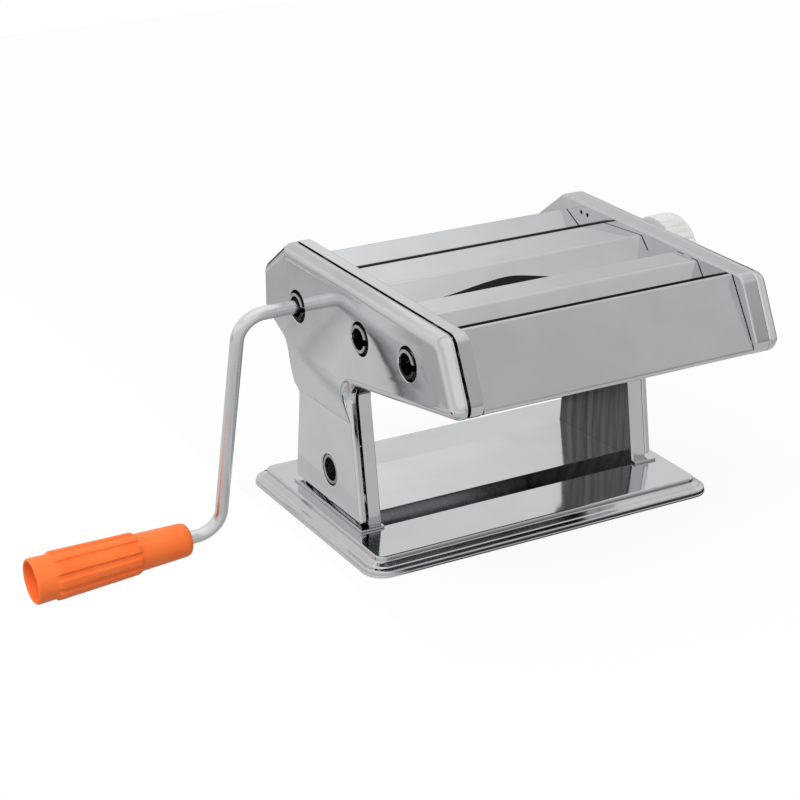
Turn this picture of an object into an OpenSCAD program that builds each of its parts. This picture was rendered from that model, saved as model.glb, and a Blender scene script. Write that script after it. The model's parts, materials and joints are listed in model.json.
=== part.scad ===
// Manual pasta machine: a pair of smooth dough rollers, two pairs of fixed cutters and a loose crank.
// X runs along the rollers (the crank is at -X), Y runs to the back, Z is up.
// The origin is the centre of the base's underside.

/* [Base] */
// How far the base reaches past each leg
base_reach = 14.8; // [10:0.2:35]
// Depth of the base from front to back
base_dep = 147.8; // [130:0.2:200]
// Height of the deck above the table
deck_h = 9.4; // [8.6:0.1:14]
// Radius of the base's outer corners in plan
base_corner_r = 12; // [10:0.5:20]
// Sheet thickness of the stamped base
base_t = 1; // [0.8:0.1:1.4]
// Thickness of the rubber mat under the base
mat_t = 1.4; // [1.2:0.1:1.8]

/* [Side frames and covers] */
// Space between a roller's end and the side frame
roller_end = 4; // [3.6:0.1:12]
// Width of the flange that runs round each side frame
flange_w = 8; // [7.6:0.1:10]
// Sheet thickness of the side frames
frame_t = 1.4; // [1:0.1:1.8]
// Open seam between the frame's flange and the cover
seam_gap = 1.2; // [0.6:0.1:2]
// The same seam on the knob's side
knob_seam_gap = 0.4; // [0.3:0.1:2]
// Depth of a cover over the mechanism, from seam to face
head_depth = 7.8; // [7:0.1:10]
// Depth of a cover over the leg, from seam to face
leg_depth = 3.8; // [3:0.1:5]
// Sheet thickness of the covers
cover_t = 0.8; // [0.6:0.1:1.2]
// Drawn radius between a cover's face and its wall
cover_r = 6; // [4:0.5:6.5]
// Height where a cover starts to slope in towards the leg
slope_top = 93; // [88:0.5:98]
// Height where the slope ends on the leg
slope_low = 67; // [60:0.5:72]

/* [Drive line] */
// Rear drive axis: distance behind the base's centre
drive_y = 29.3; // [26:0.1:31]
// Rear drive axis: height above the table
drive_z = 117.9; // [116:0.1:119]
// Angle by which the row of drive axes rises to the front
rake = 3.8; // [3:0.1:4.6]
// Distance from the rear drive axis to the middle one
wide_offset = 70.1; // [69:0.1:71]
// Distance from the rear drive axis to the front one
narrow_offset = 119.2; // [118.5:0.1:120]

/* [Dough rollers] */
// Radius of the smooth rollers
roller_r = 14; // [13.6:0.05:14.2]
// Length of the smooth rollers and of the cutters, which the width of the whole machine follows
roller_len = 156; // [120:0.5:190]
// Narrowest gap between the smooth rollers
gap_min = 0.3; // [0.2:0.05:0.5]
// How much the gap opens from narrowest to widest
gap_travel = 2.1; // [1.6:0.1:2.3]
// Turn of the knob from widest to narrowest gap
knob_turn = 144; // [120:6:150]

/* [Cutters] */
// Width of the strips that the wide cutter makes
wide_strip = 6.5; // [5.5:0.1:9]
// Width of the strips that the narrow cutter makes
narrow_strip = 2; // [1.8:0.1:3]
// Shortest bare core at each end of a cutter roller
bare_core = 2; // [1:0.1:6]
// Radius of the cutter discs
disc_r = 10.3; // [10:0.05:10.4]
// Distance between the axes of a cutter pair
cutter_pitch = 19.2; // [19.1:0.1:19.6]

/* [Shafts and gears] */
// Radius of the hollow shaft ends on the crank side
drive_journal_r = 6; // [5.6:0.1:6.2]
// Radius of the shaft ends on the knob side
idle_journal_r = 4.5; // [4:0.1:5.5]
// Teeth on every gear
gear_teeth = 12; // [10:1:13]
// Width of the gears
gear_w = 4.6; // [4:0.1:5]
// Radius of the regulator shaft
regulator_r = 3.5; // [3:0.1:3.6]
// Regulator axis: distance in front of the open moving roller's axis
regulator_ahead = 17.25; // [17.25:0.05:17.6]
// Regulator axis: distance above the line of drive axes
regulator_up = 6.3; // [6.2:0.05:6.8]

/* [Crank] */
// Diameter of the crank's rod
rod_d = 7.5; // [7:0.1:8]
// Distance from the cover's face to the crank's arm
arm_out = 34.6; // [32:0.2:45]
// Length of the crank's arm between its two axes
arm_len = 144; // [110:0.5:150]
// Angle of the hanging arm behind straight down
arm_lean = 13.7; // [0:0.1:20]
// Angle by which the grip's end of the rod hangs below level
grip_droop = 2.4; // [0:0.1:4]
// Bend radius of the rod's centre line
bend_r = 15; // [12:0.5:18]
// Length of the grip
grip_len = 94; // [80:0.5:110]
// Radius of the grip at the arm's end
grip_r = 9.6; // [9:0.1:11]
// Radius of the grip at its open end
grip_mouth_r = 13.2; // [12:0.1:15]
// Height of the grip's raised pads
pad_h = 1.3; // [0.8:0.1:2]

/* [Knob] */
// Radius of the knob
knob_r = 22; // [19:0.2:24]
// Width of the knob
knob_w = 17; // [14:0.2:22]

/* [Fits] */
// Radial running clearance of a shaft in its bore
run_fit = 0.05; // [0.03:0.01:0.08]
// Radial clearance of a piece fixed on its shaft
seat_fit = 0.02; // [0.01:0.01:0.04]
// Clearance of a sheet's tab in its slot, each side
tab_fit = 0.2; // [0.1:0.05:0.3]
// Side clearance between meshing cutter discs
disc_fit = 0.25; // [0.15:0.05:0.35]
// Radial clearance of the crank sockets in the covers' holes
hole_fit = 1.6; // [1:0.1:2.2]

/* [Hidden] */
$fn = 48;

polished = [0.83, 0.84, 0.86];
satin = [0.68, 0.69, 0.71];
zinc = [0.76, 0.77, 0.79];
rubber = [0.12, 0.12, 0.12];
nylon = [0.9, 0.89, 0.85];
bronze = [0.72, 0.55, 0.35];
orange = [1, 0.46, 0.2];
eps = 0.01;
tau = 360;

// Planes across the machine, from the rollers' ends outwards
inner_w = roller_len + 2 * roller_end;
frame_x = inner_w / 2;
web_out = frame_x + frame_t;
seam_in = frame_x + flange_w;
seam_out = seam_in + seam_gap;
face_x = seam_out + head_depth;
leg_face_x = seam_out + leg_depth;
base_len = 2 * (leg_face_x + base_reach);

// Axes in the side view, as [y, z]
ahead = [-cos(rake), sin(rake)];
above = [sin(rake), cos(rake)];
function along(from, a, b = 0) = from + a * ahead + b * above;
open_pitch = 2 * roller_r + gap_min + gap_travel;
drive_axis = [drive_y, drive_z];
moving_axis = along(drive_axis, open_pitch);
wide_axis = along(drive_axis, wide_offset);
wide_mate_axis = along(wide_axis, cutter_pitch);
narrow_axis = along(drive_axis, narrow_offset);
narrow_mate_axis = along(narrow_axis, cutter_pitch);
regulator_axis = along(moving_axis, regulator_ahead, regulator_up);

// ---------------------------------------------------------------- plane geometry
function unit(v) = v / norm(v);
function left_of(v) = [-v[1], v[0]];
function xy(p) = [p[0], p[1]];
function turn(a, b) = atan2(a[0] * b[1] - a[1] * b[0], a * b);
function reversed(list) = [for (i = [len(list) - 1 : -1 : 0]) list[i]];

// The points of one corner, q, rounded to radius r with n steps
function corner(p, q, s, r, n) =
    let (e0 = unit(q - p), e1 = unit(s - q), n0 = left_of(e0), n1 = left_of(e1), t = turn(e0, e1),
         side = t < 0 ? -1 : 1, c = q + side * r * (n0 + n1) / (1 + n0 * n1), a0 = atan2(n0[1], n0[0]))
    r < eps || abs(t) < eps ? [q] : [for (k = [0 : n]) let (a = a0 + t * k / n) c - side * r * [cos(a), sin(a)]];

// A corner moved sideways by d to the left of the path, with its radius kept concentric
function moved(p, q, s, r, d) =
    let (e0 = unit(q - p), e1 = unit(s - q), n0 = left_of(e0), n1 = left_of(e1), m = (n0 + n1) / (1 + n0 * n1),
         side = turn(e0, e1) < 0 ? -1 : 1)
    [q[0] + d * m[0], q[1] + d * m[1], r < eps ? 0 : max(r - side * d, 2 * eps)];

// A closed outline of [y, z, radius] corners, drawn anticlockwise
function outline(pts, n = 4) = let (c = len(pts))
    [for (i = [0 : c - 1]) each corner(xy(pts[(i + c - 1) % c]), xy(pts[i]), xy(pts[(i + 1) % c]), pts[i][2], n)];
function inset(pts, d) = let (c = len(pts))
    [for (i = [0 : c - 1]) moved(xy(pts[(i + c - 1) % c]), xy(pts[i]), xy(pts[(i + 1) % c]), pts[i][2], d)];

// A bent strip of sheet: an open path of [y, z, radius] bends, thickened by t to its left
function bends(pts, n = 4) = let (c = len(pts))
    concat([xy(pts[0])], [for (i = [1 : c - 2]) each corner(xy(pts[i - 1]), xy(pts[i]), xy(pts[i + 1]), pts[i][2], n)],
           [xy(pts[c - 1])]);
function beside(pts, d) = let (c = len(pts), first = left_of(unit(xy(pts[1]) - xy(pts[0]))),
                               last = left_of(unit(xy(pts[c - 1]) - xy(pts[c - 2]))))
    concat([[pts[0][0] + d * first[0], pts[0][1] + d * first[1], 0]],
           [for (i = [1 : c - 2]) moved(xy(pts[i - 1]), xy(pts[i]), xy(pts[i + 1]), pts[i][2], d)],
           [[pts[c - 1][0] + d * last[0], pts[c - 1][1] + d * last[1], 0]]);
function strip(pts, t) = concat(bends(pts), reversed(bends(beside(pts, t))));

// ---------------------------------------------------------------- placing
// Extrudes a side-view shape along X, from x0 to x1
module across(x0, x1) {
    translate([x0, 0, 0]) rotate([90, 0, 90]) linear_extrude(x1 - x0) children();
}
// Turns a shape made round Z so that it lies along +X at a point of the side view
module on_axis(axis, x = 0) {
    translate([x, axis[0], axis[1]]) rotate([0, 90, 0]) children();
}
// A plain shaft or bore along X
module bar(axis, r, x0, x1) {
    on_axis(axis, x0) cylinder(r = r, h = x1 - x0);
}
module ring(axis, r_out, r_in, x0, x1) {
    difference() {
        bar(axis, r_out, x0, x1);
        bar(axis, r_in, x0 - 1, x1 + 1);
    }
}
// Places children at the knob's end and mirrored at the crank's end
module both_ends() {
    children();
    mirror([1, 0, 0]) children();
}
module hexagon(axis, across_flats, x0, x1) {
    on_axis(axis, x0) cylinder(r = across_flats / sqrt(3), h = x1 - x0, $fn = 6);
}

// ---------------------------------------------------------------- side outline
nose_slope = 0.49;
leg_slope = 0.1636;
// The top stands this far above the drive roller, and the notch under the nose this far below its axis
top_rise = 17.3;
notch_drop = 28.3;
top_h = drive_z + roller_r + top_rise;
notch_z = drive_z - notch_drop;
foot_front = -34;
foot_back = 42;
function leg_front(z) = foot_front + leg_slope * (z - deck_h);
notch = [leg_front(notch_z), notch_z];
nose_low = [-139, 111];
nose_top = [nose_low[0] + nose_slope * (top_h - nose_low[1]), top_h];
function side_outline(bottom) = [
    [foot_back, bottom, 2],
    [37, 64.5, 3],
    [42.5, 69.5, 3],
    [46, 91.5, 9],
    [71.5, 103.5, 9],
    [71.5, 129.5, 7],
    [45, top_h, 6],
    [nose_top[0], nose_top[1], 7],
    [nose_low[0], nose_low[1], 7],
    [notch[0], notch[1], 11],
    [leg_front(bottom), bottom, 2]];
foot_t = 1.4;
foot_top = deck_h + foot_t;
foot_x = leg_face_x + 1.6;
cover_low = foot_top + 1.6;
function nose_y(z) = nose_low[0] + nose_slope * (z - nose_low[1]);
under_slope = (nose_low[1] - notch[1]) / (notch[0] - nose_low[0]);
function under_z(y) = notch[1] + under_slope * (notch[0] - y);

// ---------------------------------------------------------------- fasteners and fittings in the side view
rod_r = 2.5;
rod_axes = [[55, 108], [-26, 104], [-74.7, 112], [-119, 114]];
post_r = 3;
post_axes = [[57, 120], [-8, 139.6], [-74.7, 138.6], [-124.5, 120]];
foot_bolt_at = [-20, 30];
foot_bolt_in = 3.9;
bolt_r = 1.7;
foot_nut = 6;
rod_nut = 7;
// Two small spare holes in each frame, above the drive roller
spare_hole_ahead = [3.6, 9.7];
spare_hole_drop = 5.8;
spare_hole_r = 1.2;
clamp_axis = [2, deck_h + 22];
clamp_r = 6.6;

// ---------------------------------------------------------------- base
rim_w = 7.6;
hem_w = 4.4;
hem_low = mat_t - base_t;
gap = 0.3;
// The rim's outside, going outwards from a corner's centre and ending under the base
rim = [
    [0, deck_h, 0],
    [base_corner_r - rim_w + 0.6, deck_h, 1.6],
    [base_corner_r - rim_w + 1.9, deck_h - 2.8, 1],
    [base_corner_r - rim_w + 4.2, deck_h - 3.3, 1.5],
    [base_corner_r - rim_w + 5, deck_h - 5.1, 0.9],
    [base_corner_r - 1.2, deck_h - 5.6, 1.5],
    [base_corner_r, deck_h - 7, 1.6],
    [base_corner_r, hem_low, 1.2],
    [base_corner_r - hem_w, hem_low, 0]];

module swept_rim() {
    cx = base_len / 2 - base_corner_r;
    cy = base_dep / 2 - base_corner_r;
    profile = strip(rim, -base_t);
    for (q = [[cx, cy, 0], [-cx, cy, 90], [-cx, -cy, 180], [cx, -cy, 270]])
        translate([q[0], q[1], 0]) rotate([0, 0, q[2]]) rotate_extrude(angle = 90) polygon(profile);
    for (q = [[0, cy, 90, cx], [-cx, 0, 180, cy], [0, -cy, 270, cx], [cx, 0, 0, cy]])
        translate([q[0], q[1], 0]) rotate([0, 0, q[2]]) translate([0, q[3], 0]) rotate([90, 0, 0])
            linear_extrude(2 * q[3]) polygon(profile);
    translate([-cx, -cy, deck_h - base_t]) cube([2 * cx, 2 * cy, base_t]);
}

module foot_bolt_places() {
    for (side = [-1, 1], y = foot_bolt_at)
        translate([side * (web_out + foot_bolt_in), y, 0]) children();
}

module base_plate() {
    color(polished) difference() {
        swept_rim();
        foot_bolt_places() translate([0, 0, deck_h - base_t - 1]) cylinder(r = bolt_r + tab_fit, h = base_t + 2);
    }
}

// A flat sheet with rounded corners, d in from the base's outer edge
module rounded_sheet(d, r, z0, z1) {
    x = base_len / 2 - d;
    y = base_dep / 2 - d;
    translate([0, 0, z0]) linear_extrude(z1 - z0)
        polygon(outline([[x, -y, r], [x, y, r], [-x, y, r], [-x, -y, r]], 6));
}
bottom_t = 0.8;
module bottom_plate() {
    color(satin) rounded_sheet(base_t + gap, base_corner_r - base_t - gap, mat_t, mat_t + bottom_t);
}
module rubber_mat() {
    color(rubber) rounded_sheet(hem_w + gap, base_corner_r - hem_w - gap, 0, mat_t);
}

// ---------------------------------------------------------------- panels between the side frames
sheet_t = 0.8;
sheet_x = frame_x - 1.5;
panel_x = frame_x - 0.4;
panel_inset = 3.2;
tab_proud = 0.6;
rear_path = [
    [drive_y - 7.5, drive_z + roller_r - 0.3, 0],
    [41, top_h - 7.6, 2],
    [65.5, 123, 6],
    [65.5, 107, 4],
    [51, 98, 0]];
centre_path = [
    [moving_axis[0] + 10.6, moving_axis[1] + roller_r - 1.5, 0],
    [2.7, top_h - 5.7, 1.2],
    [-32.7, top_h - 2.8, 2.5],
    [wide_axis[0] - 3.9, wide_axis[1] + disc_r + 1, 0]];
cutter_path = [
    [wide_mate_axis[0] + 3.4, wide_mate_axis[1] + disc_r + 1, 0],
    [-64.8, top_h - 2.5, 1.2],
    [-83.2, top_h - 2.4, 2.5],
    [narrow_axis[0] - 0.7, narrow_axis[1] + disc_r + 1.2, 1.5],
    [narrow_axis[0] - 5.9, narrow_axis[1] + disc_r - 0.1, 0]];
front_top = top_h - 2.9;
front_low = nose_low[1] + 1.2;
front_path = [
    [narrow_mate_axis[0] + 4.4, narrow_mate_axis[1] + disc_r + 0.6, 0],
    [nose_y(front_top) + panel_inset, front_top, 1.2],
    [nose_y(front_low) + panel_inset, front_low, 2.2],
    [nose_y(front_low) + panel_inset + 4, under_z(nose_y(front_low) + panel_inset + 4) + 0.3, 1.5],
    [narrow_mate_axis[0] - 9, under_z(narrow_mate_axis[0] - 9) + 0.3, 0]];

function between(a, b, t) = [a[0] + (b[0] - a[0]) * t, a[1] + (b[1] - a[1]) * t, 0];
// The tabs of a panel: its path, its thickness and a list of [run, start, end] along the straight runs
function tab_sections(path, t, runs) =
    [for (r = runs) strip([between(path[r[0]], path[r[0] + 1], r[1]), between(path[r[0]], path[r[0] + 1], r[2])], t)];
module panel(path, t, runs, end = sheet_x) {
    across(-end, end) polygon(strip(path, t));
    for (section = tab_sections(path, t, runs))
        across(-web_out - tab_proud, web_out + tab_proud) polygon(section);
}
// The slots that a panel's tabs fit, cut through the right frame
module tab_slots(path, t, runs) {
    for (r = runs) {
        a = between(path[r[0]], path[r[0] + 1], r[1]);
        b = between(path[r[0]], path[r[0] + 1], r[2]);
        along_run = tab_fit * unit([b[0] - a[0], b[1] - a[1]]);
        aside = left_of(unit([b[0] - a[0], b[1] - a[1]])) * tab_fit * (t < 0 ? -1 : 1);
        p = [a[0] - along_run[0] - aside[0], a[1] - along_run[1] - aside[1], 0];
        q = [b[0] + along_run[0] - aside[0], b[1] + along_run[1] - aside[1], 0];
        across(frame_x - 1, web_out + 1) polygon(strip([p, q], t + (t < 0 ? -2 : 2) * tab_fit));
    }
}
rear_tabs = [[2, 0.4, 0.75], [3, 0.5, 0.85]];
centre_tabs = [[0, 0.3, 0.7], [2, 0.55, 0.8]];
cutter_tabs = [[0, 0.3, 0.7], [1, 0.35, 0.7]];
front_tabs = [[0, 0.25, 0.6], [3, 0.3, 0.7]];

module rear_panel() {
    color(polished) panel(rear_path, -sheet_t, rear_tabs, panel_x);
}
module centre_panel() {
    color(polished) panel(centre_path, sheet_t, centre_tabs, panel_x);
}
module cutter_panel() {
    color(polished) panel(cutter_path, sheet_t, cutter_tabs, panel_x);
}
module front_panel() {
    color(polished) panel(front_path, sheet_t, front_tabs, panel_x);
}

// ---------------------------------------------------------------- scrapers and combs
scraper_gap = 0.3;
comb_gap = 0.4;
function polar(axis, r, a) = axis + r * [cos(a), sin(a)];
rear_scraper = [
    concat(polar(drive_axis, roller_r + scraper_gap + 0.3, -50), [0]),
    concat(polar(drive_axis, roller_r + 10, -48), [1.5]),
    concat(polar(drive_axis, roller_r + 10, -48) + [0, 6], [0])];
front_scraper = [
    concat(polar(moving_axis, roller_r + scraper_gap + 0.3, 235), [0]),
    concat(polar(moving_axis, roller_r + 8, 233), [1.5]),
    concat(polar(moving_axis, roller_r + 8, 233) + [-5.5, 0], [0])];
scraper_tabs = [[1, 0.35, 0.85]];
module roller_scrapers() {
    color(satin) {
        panel(rear_scraper, sheet_t, scraper_tabs);
        panel(front_scraper, sheet_t, scraper_tabs);
    }
}

core_r = cutter_pitch - disc_r - comb_gap;
// The comb under one cutter; side is 1 where the comb lies behind the roller and -1 in front of it
function comb_path(axis, side) =
    let (tip = axis - side * [3.85, 0] - [0, core_r - 0.25], run = side * [8.65, 0] - [0, 5])
    [concat(tip, [0]), concat(tip + run, [1.2]), concat(tip + run - [0, 3], [0])];
comb_tabs = [[1, 0.35, 0.9]];
// The x of the middle of disc i of n, at a spacing of two strips
function disc_x(i, n, strip_w) = (2 * i - (n - 1)) * strip_w;
// Discs on a driven roller; its mate has one more, and both keep some bare core at their ends
function disc_count(strip_w) = floor((roller_len / 2 - bare_core - (strip_w - disc_fit) / 2) / strip_w);
wide_discs = disc_count(wide_strip);
narrow_discs = disc_count(narrow_strip);
module comb(axis, side, n, strip_w) {
    disc_w = strip_w - disc_fit;
    difference() {
        panel(comb_path(axis, side), side * -sheet_t, comb_tabs);
        for (i = [0 : n - 1])
            bar(axis, disc_r + comb_gap, disc_x(i, n, strip_w) - disc_w / 2 - comb_gap,
                disc_x(i, n, strip_w) + disc_w / 2 + comb_gap);
    }
}
module wide_combs() {
    color(satin) {
        comb(wide_axis, 1, wide_discs, wide_strip);
        comb(wide_mate_axis, -1, wide_discs + 1, wide_strip);
    }
}
module narrow_combs() {
    color(satin) {
        comb(narrow_axis, 1, narrow_discs, narrow_strip);
        comb(narrow_mate_axis, -1, narrow_discs + 1, narrow_strip);
    }
}

// ---------------------------------------------------------------- side frames
bush_wall = 1.6;
bush_flange = 3;
bush_proud = 1.2;
socket_r = 7.5;
idle_axes = [drive_axis, wide_axis, wide_mate_axis, narrow_axis, narrow_mate_axis];
crank_axes = [drive_axis, wide_axis, narrow_axis];
mate_axes = [wide_mate_axis, narrow_mate_axis];
block_half = [7.5, 7.5];
block_fit = 0.1;
// The rectangle that a bearing block slides in, as a polygon around the moving axis
function block_window(a0, a1, b) =
    [along(moving_axis, a0, -b), along(moving_axis, a1, -b), along(moving_axis, a1, b), along(moving_axis, a0, b)];

module frame_sheet(flange_end) {
    across(frame_x, web_out) polygon(outline(side_outline(deck_h)));
    across(web_out - eps, flange_end) difference() {
        polygon(outline(side_outline(deck_h)));
        polygon(outline(inset(side_outline(deck_h), frame_t)));
    }
    translate([frame_x, foot_front - 2.6, deck_h]) cube([foot_x - frame_x, foot_back - foot_front + 2, foot_t]);
}
module shared_holes() {
    bar(regulator_axis, regulator_r + bush_wall + seat_fit, frame_x - 1, web_out + 1);
    across(frame_x - 1, web_out + 1)
        polygon(block_window(block_half[0] + gap, -block_half[0] - gap - gap_travel, block_half[1] + block_fit));
    for (a = rod_axes)
        bar(a, rod_r - 0.5 + tab_fit / 2, frame_x - 1, web_out + 1);
    for (a = post_axes)
        bar(a, screw_r + tab_fit, frame_x - 1, web_out + 1);
    for (y = foot_bolt_at)
        translate([web_out + foot_bolt_in, y, deck_h - 1]) cylinder(r = bolt_r + tab_fit, h = foot_t + 2);
    for (ahead_by = spare_hole_ahead)
        bar([drive_y - ahead_by, top_h - spare_hole_drop], spare_hole_r, frame_x - 1, web_out + 1);
    tab_slots(rear_path, -sheet_t, rear_tabs);
    tab_slots(centre_path, sheet_t, centre_tabs);
    tab_slots(cutter_path, sheet_t, cutter_tabs);
    tab_slots(front_path, sheet_t, front_tabs);
    tab_slots(rear_scraper, sheet_t, scraper_tabs);
    tab_slots(front_scraper, sheet_t, scraper_tabs);
    for (a = [wide_axis, narrow_axis])
        tab_slots(comb_path(a, 1), -sheet_t, comb_tabs);
    for (a = mate_axes)
        tab_slots(comb_path(a, -1), sheet_t, comb_tabs);
}
module right_frame() {
    color(polished) difference() {
        frame_sheet(seam_out - knob_seam_gap);
        shared_holes();
        for (a = idle_axes)
            bar(a, idle_journal_r + bush_wall + seat_fit, frame_x - 1, web_out + 1);
    }
}
module left_frame() {
    color(polished) mirror([1, 0, 0]) difference() {
        frame_sheet(seam_in);
        shared_holes();
        for (a = crank_axes)
            bar(a, drive_journal_r + bush_wall + seat_fit, frame_x - 1, web_out + 1);
        for (a = mate_axes)
            bar(a, idle_journal_r + bush_wall + seat_fit, frame_x - 1, web_out + 1);
        bar(clamp_axis, clamp_r + clamp_wall + seat_fit, frame_x - 1, web_out + 1);
    }
}

// ---------------------------------------------------------------- covers
leg_r = 1.5;
blend_steps = 6;
edge_steps = 4;
levels = [for (k = [0 : blend_steps]) slope_low + (slope_top - slope_low) * k / blend_steps];
rise = [for (k = [0 : blend_steps]) [levels[k], sin(90 * k / blend_steps)]];
function blend(a, b, z) = a + (b - a) * lookup(z, rise);
// Each point of a cover's edge as [point, step to the face's edge, radius of the edge]
cover_edge =
    let (outer = outline(side_outline(cover_low), 5), inner = outline(inset(side_outline(cover_low), 1), 5))
    [for (k = [0 : len(outer) - 1]) let (r = blend(leg_r, cover_r, outer[k][1])) [outer[k], (inner[k] - outer[k]) * r, r]];
function face_z(e) = e[0][1] + e[1][1];
function reached(a, b, level) = (face_z(a) - level) * (face_z(b) - level) < -0.000001;
// The same edge with a point added wherever the face's edge crosses a level
cover_ring = let (m = len(cover_edge))
    [for (k = [0 : m - 1]) let (a = cover_edge[k], b = cover_edge[(k + 1) % m], up = face_z(b) > face_z(a))
        each concat([a], [for (level = up ? levels : reversed(levels)) if (reached(a, b, level))
            let (t = (level - face_z(a)) / (face_z(b) - face_z(a))) a + (b - a) * t])];
// Ring k of a cover's surface, set in by the sheet's thickness d; k is -1 at the seam
function cover_section(k, d) = [for (e = cover_ring)
    let (r = e[2] - d, face = blend(seam_out + leg_depth, face_x, face_z(e)) - d, a = 90 * max(k, 0) / edge_steps,
         p = e[0] + e[1] * (d + r * (1 - cos(a))) / e[2])
    [k < 0 ? seam_out : face - r + r * sin(a), p[0], p[1]]];
module cover_shell() {
    m = len(cover_ring);
    rings = edge_steps + 2;
    points = concat([for (k = [-1 : edge_steps]) each cover_section(k, 0)],
                    [for (k = [-1 : edge_steps]) each cover_section(k, cover_t)]);
    at_level = [for (level = levels) [for (k = [0 : m - 1]) if (abs(face_z(cover_ring[k]) - level) < 0.00001) k]];
    up = [for (l = at_level) l[0]];
    down = [for (l = at_level) l[1]];
    top = blend_steps;
    cap = concat([[for (k = [up[top] : down[top]]) k]],
        [for (l = [0 : top - 1]) concat([for (k = [up[l] : up[l + 1]]) k], [for (k = [down[l + 1] : down[l]]) k])],
        [concat([for (k = [down[0] : m - 1]) k], [for (k = [0 : up[0]]) k])]);
    walls = [for (g = [0 : rings - 2], k = [0 : m - 1]) let (a = g * m + k, b = g * m + (k + 1) % m)
        [a, a + m, b + m, b]];
    outer_cap = (rings - 1) * m;
    inside = rings * m;
    faces = concat(walls, [for (w = walls) [for (q = reversed(w)) q + inside]],
        [for (c = cap) [for (q = reversed(c)) q + outer_cap]],
        [for (c = cap) [for (q = c) q + outer_cap + inside]],
        [for (k = [0 : m - 1]) [k, (k + 1) % m, (k + 1) % m + inside, k + inside]]);
    polyhedron(points, faces);
}
module right_cover() {
    color(polished) difference() {
        cover_shell();
        bar(regulator_axis, regulator_r + hole_fit, seam_out, face_x + 1);
    }
}
module left_cover() {
    color(polished) mirror([1, 0, 0]) difference() {
        cover_shell();
        for (a = crank_axes)
            bar(a, socket_r + hole_fit, seam_out, face_x + 1);
        bar(clamp_axis, clamp_r + clamp_wall + clamp_clear, seam_out, face_x + 1);
    }
}

screw_r = 1.5;
screw_bite = 9;
module cover_posts() {
    color(zinc) both_ends() for (a = post_axes) difference() {
        bar(a, post_r, web_out, face_x - cover_t);
        bar(a, screw_r + seat_fit, web_out - 1, web_out + screw_bite);
    }
}
module cover_screws() {
    color(zinc) both_ends() for (a = post_axes) {
        bar(a, screw_r, frame_x - eps, web_out + screw_bite - 0.5);
        bar(a, screw_r * 1.9, frame_x - 1.7, frame_x);
    }
}

// ---------------------------------------------------------------- tie rods and feet
nut_t = 2.6;
module tie_rods() {
    color(zinc) for (a = rod_axes) {
        bar(a, rod_r, -frame_x, frame_x);
        bar(a, rod_r - 0.5, -web_out - nut_t - 0.8, web_out + nut_t + 0.8);
    }
}
module tie_rod_nuts() {
    color(zinc) both_ends() for (a = rod_axes) difference() {
        hexagon(a, rod_nut, web_out, web_out + nut_t);
        bar(a, rod_r - 0.5 + seat_fit, web_out - 1, web_out + nut_t + 1);
    }
}
module foot_bolts() {
    color(zinc) foot_bolt_places() {
        translate([0, 0, deck_h - base_t - 1.8]) cylinder(r = bolt_r * 1.9, h = 1.8);
        translate([0, 0, deck_h - base_t - 1]) cylinder(r = bolt_r, h = 1 + base_t + foot_t + nut_t + 0.8);
    }
}
module foot_nuts() {
    color(zinc) foot_bolt_places() translate([0, 0, foot_top]) difference() {
        cylinder(r = foot_nut / sqrt(3), h = nut_t, $fn = 6);
        translate([0, 0, -1]) cylinder(r = bolt_r + seat_fit, h = nut_t + 2);
    }
}
clamp_wall = 1.6;
clamp_in = 7;
clamp_clear = 0.6;
module clamp_socket() {
    color(satin) mirror([1, 0, 0]) difference() {
        bar(clamp_axis, clamp_r + clamp_wall, frame_x - clamp_in, leg_face_x - 0.4);
        bar(clamp_axis, clamp_r, frame_x - clamp_in + 1.2, leg_face_x + 1);
    }
}

// ---------------------------------------------------------------- bushings
module bushing(axis, r, proud = bush_proud) {
    ring(axis, r + bush_wall, r + run_fit, frame_x - eps, web_out + proud);
    ring(axis, r + bush_flange, r + run_fit, frame_x - 1.2, frame_x);
}
module roller_bushings() {
    color(bronze) {
        bushing(drive_axis, idle_journal_r);
        mirror([1, 0, 0]) bushing(drive_axis, drive_journal_r);
    }
}
module cutter_bushings() {
    color(bronze) {
        for (a = [wide_axis, wide_mate_axis, narrow_axis, narrow_mate_axis])
            bushing(a, idle_journal_r);
        mirror([1, 0, 0]) for (a = mate_axes)
            bushing(a, idle_journal_r);
        mirror([1, 0, 0]) for (a = [wide_axis, narrow_axis])
            bushing(a, drive_journal_r);
    }
}
module regulator_bushings() {
    color(bronze) both_ends() bushing(regulator_axis, regulator_r, 0);
}

// ---------------------------------------------------------------- shafts and gears
gear_in = web_out + 3;
gear_out = gear_in + gear_w;
bore_end = frame_x - 2;
right_end = web_out + 3;
// A driven shaft end on the crank's side, hollow for the crank's socket
module driven_journal(axis) {
    difference() {
        bar(axis, drive_journal_r, -gear_out, -roller_len / 2 + eps);
        bar(axis, shank_r + seat_fit, -gear_out - 1, -bore_end);
    }
}
module idle_journal(axis, x) {
    bar(axis, idle_journal_r, x < 0 ? x : roller_len / 2 - eps, x < 0 ? eps - roller_len / 2 : x);
}
module drive_roller() {
    color(polished) {
        bar(drive_axis, roller_r, -roller_len / 2, roller_len / 2);
        driven_journal(drive_axis);
        idle_journal(drive_axis, right_end);
    }
}
module moving_roller() {
    color(polished) {
        bar(moving_axis, roller_r, -roller_len / 2, roller_len / 2);
        idle_journal(moving_axis, -gear_out);
        idle_journal(moving_axis, right_end);
    }
}

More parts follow.
